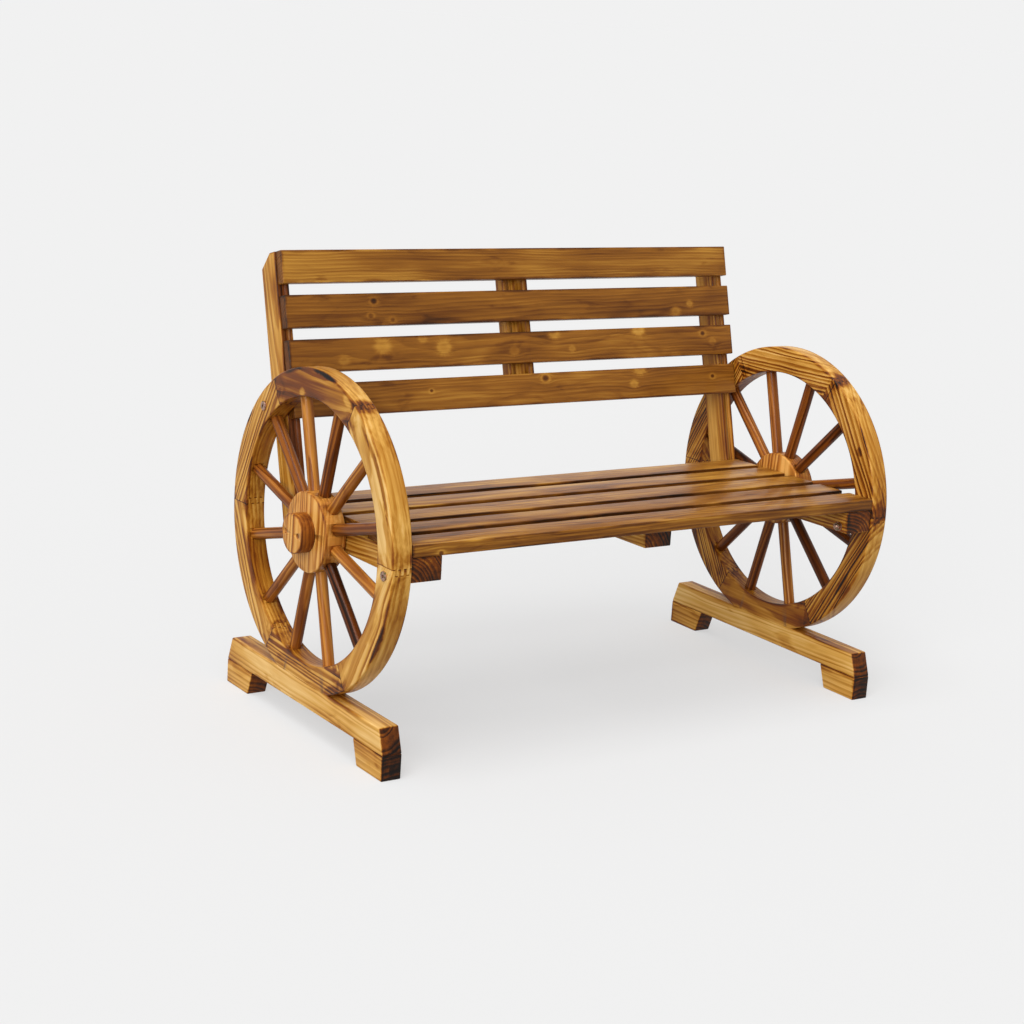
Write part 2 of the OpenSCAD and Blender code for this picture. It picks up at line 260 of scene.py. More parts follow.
def combine(first: BMesh, second: BMesh, operation: str, name: str) -> Mesh:
    """Cuts one closed shape with another.

    Args:
        first: The shape that is cut.
        second: The shape that cuts it.
        operation: INTERSECT or DIFFERENCE.
        name: Name of the resulting mesh.

    Returns:
        The resulting mesh.
    """
    base = place_object(name + "_base", to_mesh(first, name + "_base"))
    cutter = place_object(name + "_cutter", to_mesh(second, name + "_cutter"))
    modifier = base.modifiers.new("cut", "BOOLEAN")
    modifier.operation = operation
    modifier.object = cutter
    modifier.solver = "EXACT"
    mesh = evaluated_mesh(base, name)
    discard(base, cutter)
    return mesh


def lathe(profile: list[tuple[float, float]], steps: int, closed: bool = False) -> BMesh:
    """Turns an outline about the Z axis.

    Args:
        profile: Radius and height of each point. An open profile starts and ends on the axis.
        steps: Number of facets round the axis.
        closed: Whether the outline closes on itself, as a ring's does.

    Returns:
        A closed shell whose faces point outwards.
    """
    shape = bmesh.new()
    turns = [2 * math.pi * k / steps for k in range(steps)]
    rows = []
    for radius, height in profile:
        ring = turns if radius > 0 else [0.0]
        rows.append([shape.verts.new((radius * math.cos(a), radius * math.sin(a), height))
                     for a in ring])
    for low, high in zip(rows, rows[1:] + rows[:1] if closed else rows[1:]):
        for k in range(steps):
            after = (k + 1) % steps
            corners = [low[k % len(low)], low[after % len(low)],
                       high[after % len(high)], high[k % len(high)]]
            shape.faces.new(list(dict.fromkeys(corners)))
    bmesh.ops.recalc_face_normals(shape, faces=shape.faces)
    return shape


def rounded(corner: tuple[float, float], centre: tuple[float, float], radius: float,
            steps: int = 4) -> list[tuple[float, float]]:
    """Points of a quarter round at a corner of a lathe profile.

    Args:
        corner: The sharp corner's radius and height.
        centre: A point inside the profile, which says which way the corner opens.
        radius: The quarter's radius.
        steps: Number of its facets.

    Returns:
        The points, from the side of the corner's height to the side of its radius.
    """
    away_r = math.copysign(1, corner[0] - centre[0])
    away_z = math.copysign(1, corner[1] - centre[1])
    middle = (corner[0] - away_r * radius, corner[1] - away_z * radius)
    angles = [math.pi / 2 * k / steps for k in range(steps + 1)]
    return [(middle[0] + away_r * radius * math.sin(a), middle[1] + away_z * radius * math.cos(a))
            for a in angles]


@dataclass(frozen=True)
class Knot:
    """A knot in a slat, at its real place on the slat's wide face.

    Attributes:
        along: Distance to the right of the slat's middle, in millimetres.
        up: Distance above the slat's middle line, in millimetres.
        radius: Radius across the grain, in millimetres.
        kind: How the torch left it.
    """

    along: float
    up: float
    radius: float
    kind: KnotKind = KnotKind.PALE


@dataclass(frozen=True)
class Char:
    """A mark that the torch left on a wheel's rim, at its real place.

    Attributes:
        angle: Place round the wheel, in degrees from the rear horizontal upwards.
        radius: Distance from the axle, in millimetres.
        length: Half length along the rim, in millimetres.
        width: Half width across the rim, in millimetres.
        burn: How much darker it is, negative where the torch left the wood pale.
        through: Distance outwards from the rim's middle plane, in millimetres.
    """

    angle: float
    radius: float
    length: float
    width: float
    burn: float
    through: float = 18.0


class Reading:
    """What a wooden mesh tells its finish, as sockets of the finish's tree.

    Attributes:
        tree: The node tree.
        grain: Place in the log, with X along the grain.
        place: Place in the piece. On a wheel X runs along the axle.
        half: Half sizes, or a ring's half thickness, outer and inner radius.
        tone: How much darker this piece is than the others.
        scorch: How heavily the torch marked this piece.
        seed: The piece's own number, which moves every noise.
    """

    def __init__(self, tree: NodeTree) -> None:
        """Reads the mesh's attributes.

        Args:
            tree: The finish's empty tree.
        """
        self.tree = tree
        self.grain, self.place, self.half, mark = [
            add(tree, "Attribute " + name, out="Vector")
            for name in ("grain", "place", "half", "mark")]
        self.tone, self.scorch, self.seed = add(tree, "SeparateXYZ", mark).node.outputs

    def noise(self, spot: NodeSocket, along: float, across: float, detail: float = 2.0,
              distortion: float = 0.0) -> NodeSocket:
        """Noise that is stretched along the grain.

        Args:
            spot: Place in the log or in the piece.
            along: Length of a patch along the grain, in millimetres.
            across: Width of a patch across the grain, in millimetres.
            detail: Octaves of the noise.
            distortion: How much the noise swirls.

        Returns:
            A value from about -0.5 to 0.5.
        """
        scales = (1 / (along * MM), 1 / (across * MM), 1 / (across * MM))
        scaled = add(self.tree, "VectorMath MULTIPLY", spot, scales)
        moved = add(self.tree, "VectorMath ADD", scaled, self.seed)
        value = add(self.tree, "TexNoise", moved, Scale=1.0, Detail=detail, Distortion=distortion)
        return add(self.tree, "Math SUBTRACT", value, 0.5)

    def radius(self) -> NodeSocket:
        """Distance from the wheel's axle, in metres."""
        flat = add(self.tree, "VectorMath MULTIPLY", self.place, (0, 1, 1))
        return add(self.tree, "VectorMath LENGTH", flat, out="Value")

    def angle(self) -> NodeSocket:
        """Angle round the wheel's axle from the rear horizontal upwards, in radians."""
        _, level, height = add(self.tree, "SeparateXYZ", self.place).node.outputs
        return add(self.tree, "Math ARCTAN2", height, level)


# Stops from bare wood to char: honey gold for the rims, more olive for the slats, redder for the rods
HONEY = ((0.0, "#efc47c"), (0.2, "#d8a24c"), (0.4, "#b07322"), (0.58, "#783c0a"),
         (0.76, "#4b2408"), (0.9, "#281305"), (1.0, "#100804"))
OLIVE = ((0.0, "#dcae5c"), (0.2, "#bc8634"), (0.4, "#915c1d"), (0.58, "#6c3e12"),
         (0.76, "#48270c"), (0.9, "#2b1707"), (1.0, "#140c06"))
RED_BROWN = ((0.0, "#e6ae5e"), (0.2, "#c88537"), (0.4, "#97571c"), (0.58, "#6a3510"),
             (0.76, "#421e08"), (0.9, "#261005"), (1.0, "#120804"))


@dataclass(frozen=True)
class TorchedFir:
    """Fir that was scorched with a torch, brushed, stained and varnished.

    The flame leaves dark brown clouds and edges, the brushing leaves the hard latewood standing as
    fine ridges, and the varnish gives a warm, half-gloss skin.

    Attributes:
        name: Name of the material.
        ramp: Stops from bare to charred wood.
        outline: How the piece's arrises are found.
        tone: How burnt the wood is all over.
        ring_gap: Width of a growth ring in millimetres. Fir has 2 to 4 mm, drawn coarser to show.
        line_burn: How much darker a latewood line is.
        streak_burn: Strength of the long streaks along the grain.
        fibre_burn: Strength of the fibres, drawn 2.2 mm wide so that they show.
        cloud_burn: Strength of the flame's soft clouds.
        scorch_burn: Strength of the hard-edged scorch marks.
        edge_burn: How much darker the scorched stretches of an arris are. The others are worn
            pale.
        wander: How far the rings wander along the board, in millimetres.
        roughness: Roughness of the brushed wood.
        shine: Specular level of the oiled wood under the varnish.
        coat: Share of the surface that the varnish covers.
        relief: Depth of the brushed latewood in millimetres.
        knots: Knots at their real places.
        joints: Whether the piece shows the wheel's finger joints.
        chars: Char marks on a rim.
    """

    name: str
    ramp: tuple[tuple[float, str], ...] = HONEY
    outline: Outline = Outline.BOARD
    tone: float = 0.26
    ring_gap: float = 6.5
    line_burn: float = 0.28
    streak_burn: float = 0.35
    fibre_burn: float = 0.2
    cloud_burn: float = 0.5
    scorch_burn: float = 0.3
    edge_burn: float = 0.26
    wander: float = 22.0
    roughness: float = 0.42
    shine: float = 0.12
    coat: float = 0.08
    relief: float = 0.35
    knots: tuple[Knot, ...] = ()
    joints: bool = False
    chars: tuple[Char, ...] = ()

    def make(self) -> Material:
        """Builds the material.

        Returns:
            The node material.
        """
        material, tree = new_material(self.name)
        at = Reading(tree)
        grain, halo, clear = self.knot_fields(at)
        late = add(tree, "Math MULTIPLY", self.latewood(at, grain), clear)
        if self.outline is not Outline.ROD:
            late = add(tree, "Math MULTIPLY", late, add(tree, "Attribute face_lines", out="Fac"))
        burn = add(tree, "Math ADD", self.blend_burn(at, late), halo)
        if self.joints:
            burn = add(tree, "Math ADD", burn, self.joint_lines(at))
        if self.chars:
            burn = add(tree, "Math ADD", burn, self.char_marks(at))
        self.surface(at, late, burn)
        return material

    def latewood(self, at: Reading, grain: NodeSocket) -> NodeSocket:
        """Growth rings about the pith, with a soft inner and a sharp outer edge.

        Args:
            at: What the mesh tells.
            grain: Place in the log, with the rings parted round the knots.

        Returns:
            A value from 0 in the earlywood to 1 in the latewood.
        """
        node = partial(add, at.tree)
        flat = node("VectorMath MULTIPLY", grain, (0, 1, 1))
        radius = node("VectorMath LENGTH", flat, out="Value")
        # Slow waves along the board, and ripples of 3.2 mm
        radius = node("Math MULTIPLY_ADD", at.noise(grain, 420, 95), self.wander * MM, radius)
        radius = node("Math MULTIPLY_ADD", at.noise(grain, 70, 16, 3), 3.2 * MM, radius)
        # Wide and narrow years, of which each has its own darkness
        years = node("TexNoise", W=radius, Scale=70.0, Detail=1.0, noise_dimensions="1D")
        rings = node("Math DIVIDE", radius, self.ring_gap * MM)
        rings = node("Math MULTIPLY_ADD", years, 1.7, rings)
        number = node("Math FLOOR", rings)
        strength = node("TexWhiteNoise", W=number, noise_dimensions="1D")
        strength = node("MapRange", strength, None, None, 0.25, 1.0)
        phase = node("Math FRACT", rings)
        rise = node("MapRange SMOOTHSTEP", phase, 0.2, 0.7)
        fall = node("MapRange SMOOTHSTEP", phase, 0.9, 1.0, 1.0, 0.0)
        return node("Math MULTIPLY", node("Math MULTIPLY", rise, fall), strength)

    def knot_fields(self, at: Reading) -> tuple[NodeSocket | float, ...]:
        """What the knots do to the rings and to the burn.

        Args:
            at: What the mesh tells.

        Returns:
            The place in the log with the rings parted round the knots, how much the burn changes,
            and how clearly the latewood shows.
        """
        node = partial(add, at.tree)
        grain, halo, clear = at.grain, 0.0, 1.0
        for knot in self.knots:
            centre = (knot.along * MM, 0, knot.up * MM)
            size = 1 / (knot.radius * MM)
            offset = node("VectorMath SUBTRACT", at.place, centre)
            # The rings flow round a knot as water flows round a post, and rejoin along the grain
            wide = node("VectorMath MULTIPLY", offset, (0.55 * size, 0, size))
            wide = node("VectorMath DOT_PRODUCT", wide, wide, out="Value")
            share = node("Math DIVIDE", -1.0, node("Math MAXIMUM", wide, 1.0))
            push = node("VectorMath MULTIPLY", offset, (0, 0, 1))
            grain = node("VectorMath ADD", grain, node("VectorMath SCALE", push, Scale=share))
            # Uneven rays of pale wood round the knot
            near = node("VectorMath MULTIPLY", offset, (0.8 * size, 0, size))
            far = node("VectorMath LENGTH", near, out="Value")
            aim = node("VectorMath ADD", node("VectorMath NORMALIZE", near), centre)
            ray = node("TexNoise", aim, Scale=4.5, Detail=2.0)
            ray = node("MapRange", ray, 0.3, 0.7, 0.85, 1.2)
            star = node("Math MULTIPLY", far, ray)
            glow, core = knot.kind.value
            pale = node("MapRange SMOOTHSTEP", star, 0.5, 2.1, glow, 0.0)
            dark = node("MapRange SMOOTHSTEP", far, 0.3, 0.95, core, 0.0)
            halo = node("Math ADD", node("Math ADD", halo, pale), dark)
            # The knot's disc has no rings of its own
            free = node("MapRange SMOOTHSTEP", far, 0.9, 1.5, 0.1, 1.0)
            clear = node("Math MULTIPLY", clear, free)
        return grain, halo, clear

    def char_marks(self, at: Reading) -> NodeSocket | float:
        """Char marks at their places round a rim, with ragged edges.

        Args:
            at: What the mesh tells.

        Returns:
            How much the burn grows.
        """
        node = partial(add, at.tree)
        through = node("SeparateXYZ", at.place)
        radius = at.radius()
        angle = at.angle()
        ragged = at.noise(at.place, 16, 16, 4, 0.5)
        total = 0.0
        for char in self.chars:
            turn = node("Math SUBTRACT", angle, math.radians(char.angle))
            turn = node("Math WRAP", turn, math.pi, -math.pi)
            along = node("Math MULTIPLY", turn, char.radius / char.length)
            across, deep = [
                node("Math MULTIPLY", node("Math SUBTRACT", spot, middle * MM),
                     1 / (char.width * MM))
                for spot, middle in ((radius, char.radius), (through, char.through))]
            far = node("VectorMath LENGTH", node("CombineXYZ", along, across, deep), out="Value")
            far = node("Math MULTIPLY_ADD", ragged, 0.7, far)
            burn = node("MapRange SMOOTHSTEP", far, 0.35, 1.0, char.burn, 0.0)
            total = node("Math ADD", total, burn)
        return total

    def arris(self, at: Reading) -> NodeSocket | float:
        """Distance from the nearest arris.

        Args:
            at: What the mesh tells.

        Returns:
            The distance in metres, and a large one on a rod, which has no arris.
        """
        node = partial(add, at.tree)
        if self.outline is Outline.ROD:
            return 1.0
        if self.outline is Outline.BOARD:
            room = node("VectorMath SUBTRACT", at.half, node("VectorMath ABSOLUTE", at.place))
            x, y, z = node("SeparateXYZ", room).node.outputs
            inner = node("Math MINIMUM", node("Math MAXIMUM", x, y), z)
            return node("Math MAXIMUM", node("Math MINIMUM", x, y), inner)
        thick, outer, inner = node("SeparateXYZ", at.half).node.outputs
        radius = at.radius()
        radial = node("Math MINIMUM", node("Math SUBTRACT", outer, radius),
                      node("Math SUBTRACT", radius, inner))
        through = node("Math ABSOLUTE", node("SeparateXYZ", at.place))
        return node("Math MAXIMUM", radial, node("Math SUBTRACT", thick, through))

    def joint_lines(self, at: Reading) -> NodeSocket:
        """Dark glue lines of the finger joints between the felloes, and the soot round them.

        Args:
            at: What the mesh tells.

        Returns:
            How much the burn grows.
        """
        node = partial(add, at.tree)
        felloe, finger = Wheel.felloe_angle, Wheel.finger_l
        angle = at.angle()
        rest = node("Math SUBTRACT", angle, node("Math SNAP", angle, felloe))
        rest = node("Math WRAP", rest, felloe / 2, -felloe / 2)
        past = node("Math MULTIPLY", node("Math SINE", rest), at.radius())
        lifted = node("Math ADD", node("SeparateXYZ", at.place), node("SeparateXYZ", at.half))
        layer = node("Math FLOOR", node("Math DIVIDE", lifted, Wheel.finger_t))
        parity = node("Math FLOORED_MODULO", layer, 2.0)
        step = node("Math MULTIPLY_ADD", parity, finger, -finger / 2)
        gap = node("Math ABSOLUTE", node("Math SUBTRACT", past, step))
        glue = node("MapRange", gap, 0.3 * MM, 1.2 * MM, 0.34, 0.0)
        away = node("Math ABSOLUTE", past)
        soot = node("MapRange SMOOTHSTEP", away, 4 * MM, 34 * MM, 1.0, 0.0)
        smear = node("MapRange", at.noise(at.place, 30, 22, 4, 0.6), -0.02, 0.16, 0.0, 0.22)
        return node("Math ADD", glue, node("Math MULTIPLY", soot, smear))

    def blend_burn(self, at: Reading, late: NodeSocket) -> NodeSocket:
        """Adds up everything that makes the wood darker or paler.

        Args:
            at: What the mesh tells.
            late: The latewood lines.

        Returns:
            The burn, from 0 on bare wood to 1 on char.
        """
        node = partial(add, at.tree)
        burn = node("Math ADD", at.tone, self.tone)
        layers = ((late, self.line_burn), (at.noise(at.grain, 260, 7, 3), self.streak_burn),
                  (at.noise(at.grain, 80, 2.2, 3), self.fibre_burn),
                  (at.noise(at.grain, 210, 48, 2, 0.4), self.cloud_burn))
        for layer, weight in layers:
            burn = node("Math MULTIPLY_ADD", layer, weight, burn)
        flame = node("MapRange SMOOTHSTEP", at.noise(at.grain, 120, 34, 3, 1.2), 0.05, 0.24)
        flame = node("Math MULTIPLY", flame, at.scorch)
        burn = node("Math MULTIPLY_ADD", flame, self.scorch_burn, burn)
        # The arris's own tone reaches 1.2 to about 10 mm into the faces
        reach = node("Math MULTIPLY_ADD", at.noise(at.grain, 60, 30), 14 * MM, 5 * MM)
        reach = node("Math MAXIMUM", reach, 1.2 * MM)
        edge = node("Math DIVIDE", self.arris(at), reach)
        edge = node("MapRange SMOOTHSTEP", edge, 0.0, 1.0, 1.0, 0.0)
        worn = node("MapRange", at.noise(at.grain, 90, 60), -0.14, 0.08, -0.4 * self.edge_burn,
                    self.edge_burn)
        burn = node("Math MULTIPLY_ADD", edge, worn, burn)
        # Each face's own burn, with the painted shade on the bore of a rim
        return node("Math ADD", burn, node("Attribute face_burn", out="Fac"))

    def surface(self, at: Reading, late: NodeSocket, burn: NodeSocket) -> None:
        """Colour, varnish and relief of the wood.

        Args:
            at: What the mesh tells.
            late: The latewood lines.
            burn: How burnt the wood is.
        """
        node = partial(add, at.tree)
        colour = node("ValToRGB", burn)
        fill_ramp(colour, self.ramp)
        pores = at.noise(at.grain, 14, 0.8)
        rough = node("Math MULTIPLY_ADD", pores, 0.25, self.roughness)
        height = node("Math MULTIPLY_ADD", pores, 0.5, late)
        normal = node("Bump", Height=height, Strength=0.7, Distance=self.relief * MM)
        shader = node("BsdfPrincipled", Base_Color=colour, Roughness=rough, Normal=normal,
                      IOR=1.5, Specular_IOR_Level=self.shine, Coat_Weight=self.coat,
                      Coat_Roughness=0.16)
        node("OutputMaterial", Surface=shader)


@dataclass(frozen=True)
class PlatedSteel:
    """Steel hardware with a thin plating that handling has dulled in patches.

    Attributes:
        name: Name of the material.
        colour: The plating's colour.
        stain: Colour of the dull patches.
        roughness: Roughness of clean plating.
    """

    name: str
    colour: str
    stain: str
    roughness: float

    def make(self) -> Material:
        """Builds the material.

        Returns:
            The node material.
        """
        material, tree = new_material(self.name)
        node = partial(add, tree)
        place = node("TexCoord", out="Object")
        # Dull patches about 4 mm wide
        patch = node("TexNoise", place, Scale=1 / (4 * MM), Detail=3.0)
        colour = node("ValToRGB", patch)
        fill_ramp(colour, ((0.42, self.colour), (0.66, self.stain)))
        rough = node("MapRange", patch, None, None, self.roughness - 0.08, self.roughness + 0.22)
        # Rolling marks about 0.6 mm wide
        marks = node("TexNoise", place, Scale=1 / (0.6 * MM))
        normal = node("Bump", Height=marks, Strength=0.25, Distance=0.05 * MM)
        shader = node("BsdfPrincipled", Base_Color=colour, Metallic=1.0, Roughness=rough,
                      Normal=normal)
        node("OutputMaterial", Surface=shader)
        return material


@dataclass(frozen=True)
class Timber:
    """How one wooden piece was cut from its log and how the torch left it.

    Attributes:
        axes: Rotation whose columns are the directions along, across and through the piece.
        pith: Place of the pith across and through the piece, in millimetres from its middle.
        tone: How much darker than its fellows the piece is.
        scorch: How heavily the torch marked it.
        coarse: How many times wider than usual its growth rings are.
        burnt: How much darker the faces are that look along, across and through the piece.
        lines: Share of the latewood lines that shows on those faces. The lines stay pale where
            it is negative.
        painted_bore_shade: Painted shade, how much darker the faces are that look towards the axle.
    """

    axes: Matrix
    pith: tuple[float, float]
    tone: float
    scorch: float
    coarse: float = 1.0
    burnt: tuple[float, float, float] = (0.0, 0.0, 0.0)
    lines: tuple[float, float, float] = (1.0, 1.0, 1.0)
    painted_bore_shade: float = 0.0


@dataclass(frozen=True)
class FelloeLook:
    """How one felloe was cut and how the torch left it.

    Attributes:
        tone: How much darker than the finish it is.
        scorch: How heavily the torch marked it.
        pith_out: Distance of the pith towards the axle, in millimetres.
        pith_through: Distance of the pith behind the felloe's middle plane, in millimetres.
        coarse: How many times wider than usual its growth rings are.
        face: How much darker its flat faces are than its turned ones.
        lines: Share of the latewood lines that shows on its flat faces.
    """

    tone: float
    scorch: float
    pith_out: float
    pith_through: float
    coarse: float
    face: float
    lines: float = 1.0


def columns(along: tuple[float, ...], across: tuple[float, ...],
            through: tuple[float, ...]) -> Matrix:
    """Makes a rotation from the directions along, across and through a piece.

    Args:
        along: Direction of the grain.
        across: Direction across the piece.
        through: Direction through it.

    Returns:
        The rotation, whose columns they are.
    """
    return Matrix((along, across, through)).transposed()


def set_attribute(mesh: Mesh, name: str, values: np.ndarray, domain: str = "POINT") -> None:
    """Stores a named attribute on a mesh.

    Args:
        mesh: The mesh.
        name: The attribute's name.
        values: One value, or one row of three, for each point or face.
        domain: POINT or FACE.
    """
    kind, field = ("FLOAT_VECTOR", "vector") if values.ndim == 2 else ("FLOAT", "value")
    attribute = mesh.attributes.new(name, kind, domain)
    attribute.data.foreach_set(field, values.astype(np.float32).ravel())


def mark_grain(mesh: Mesh, name: str, timber: Timber, centre: Vector, place: np.ndarray,
               half: Vector) -> None:
    """Stores on a mesh what its finish reads.

    Args:
        mesh: The finished mesh.
        name: The piece's name, which seeds its place in the log.
        timber: How the piece was cut.
        centre: The piece's middle.
        place: Each vertex's place in the frame that the arrises are measured in.
        half: Half sizes in that frame, or half thickness, outer and inner radius of a ring.
    """
    draw = random.Random(name)
    lean = Matrix.Rotation(math.radians(draw.uniform(-1.4, 1.4)), 3, "Z")
    lean = lean @ Matrix.Rotation(math.radians(draw.uniform(-1.0, 1.0)), 3, "Y")
    count = len(mesh.vertices)
    grain = (points_of(mesh) - np.array(centre)) @ np.array(timber.axes @ lean)
    grain += np.array([draw.uniform(-3, 3), timber.pith[0] * MM, timber.pith[1] * MM])
    grain[:, 1:] /= timber.coarse
    normals = np.zeros(len(mesh.polygons) * 3, np.float32)
    mesh.polygons.foreach_get("normal", normals)
    facing = normals.reshape(-1, 3) @ np.array(timber.axes)
    # Painted shade: faces that look towards the axle, the bore of a rim, are darkened as if in shade
    painted_bore_shade = np.clip(-facing[:, 1], 0, None) ** 2 * timber.painted_bore_shade
    facing **= 2
    set_attribute(mesh, "grain", grain)
    set_attribute(mesh, "place", place)
    set_attribute(mesh, "half", np.tile(list(half), (count, 1)))
    set_attribute(mesh, "mark",
                  np.tile([timber.tone, timber.scorch, draw.uniform(0, 40)], (count, 1)))
    # The per-face burn also carries the painted shade of a rim's bore
    set_attribute(mesh, "face_burn", facing @ np.array(timber.burnt) + painted_bore_shade, "FACE")
    set_attribute(mesh, "face_lines", facing @ np.array(timber.lines), "FACE")


def finish_piece(name: str, mesh: Mesh, material: Material, nodes: list[str],
                 sharp: float = 28) -> None:
    """Makes a mesh a piece of the bench.

    Args:
        name: The piece's name.
        mesh: Its mesh, in place.
        material: Its finish.
        nodes: The CAD nodes that it stands for.
        sharp: Angle in degrees above which an edge stays sharp.
    """
    if not mesh.polygons:
        raise ValueError(f"{name} has no faces")
    mesh.materials.clear()
    mesh.materials.append(material)
    mesh.polygons.foreach_set("use_smooth", [True] * len(mesh.polygons))
    mesh.set_sharp_from_angle(angle=math.radians(sharp))
    piece = place_object(name, mesh)
    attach(piece, BODY)
    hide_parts(*nodes)
    LOG.info("%s: %d faces", name, len(mesh.polygons))


def make_board(node: str, timber: Timber, arris: float, material: Material) -> None:
    """Makes a sawn board from its CAD node, with rounded arrises and its real screw holes.

    Args:
        node: The CAD node.
        timber: How the board was cut and torched.
        arris: Width of the rounded arrises, in millimetres.
        material: The board's finish.
    """
    solid = node_copy(node)
    back = timber.axes.transposed()
    local = [back @ v.co for v in solid.verts]
    low, high = [Vector([side(p[i] for p in local) for i in range(3)]) for side in (min, max)]
    middle, half = (low + high) / 2, (high - low) / 2

    envelope = bmesh.new()
    for vertex in solid.verts:
        envelope.verts.new(vertex.co)
    hull = bmesh.ops.convex_hull(envelope, input=envelope.verts)
    spare = [g for g in hull["geom_interior"] + hull["geom_unused"]
             if isinstance(g, bmesh.types.BMVert)]
    bmesh.ops.delete(envelope, geom=list(dict.fromkeys(spare)), context="VERTS")
    bmesh.ops.dissolve_limit(envelope, angle_limit=math.radians(1), verts=envelope.verts,
                             edges=envelope.edges)
    # The envelope stands a little proud, so that the flat faces stay the board's own
    proud = 0.05 * MM
    for vertex in envelope.verts:
        spot = back @ vertex.co - middle
        grown = [spot[i] * (1 + proud / half[i]) for i in range(3)]
        vertex.co = timber.axes @ (Vector(grown) + middle)
    bmesh.ops.bevel(envelope, geom=envelope.edges, offset=arris * MM, segments=3,
                    profile=0.6, affect="EDGES", clamp_overlap=True)
    bmesh.ops.recalc_face_normals(envelope, faces=envelope.faces)
    mesh = combine(envelope, solid, "INTERSECT", node + "_torched")

    place = points_of(mesh) @ np.array(timber.axes) - np.array(middle)
    mark_grain(mesh, node, timber, timber.axes @ middle, place, half)
    finish_piece(node + "_torched", mesh, material, [node])


@dataclass
class Runner:
    """A long rail on two foot blocks, which carries one wheel.

    Attributes:
        side: left or right.
        tone: How much darker the rail is than its finish.
        arris: Width of the rounded arrises, in millimetres.
    """

    side: str
    tone: float
    arris: float = 2.4

    def build(self, material: Material) -> None:
        """Makes the rail and its feet.

        Args:
            material: The runner's finish.
        """
        # Tone, place of the pith and darkness of the ends. The rail's growth rings arch down from
        # above, the feet's lie flat.
        looks = {"rail": (self.tone, (8.0, -34.0), 0.54), "front_foot": (0.0, (0.0, 90.0), 0.5),
                 "rear_foot": (0.02, (20.0, 80.0), 0.42)}
        for part, (tone, pith, end) in looks.items():
            timber = Timber(columns(Y_AXIS, X_AXIS, Z_AXIS), pith, tone, 0.6, 1.2,
                            burnt=(end, -0.04, 0.06), lines=(0.8, 0.6, 0.8))
            make_board(f"{self.side}_{part}", timber, self.arris, material)


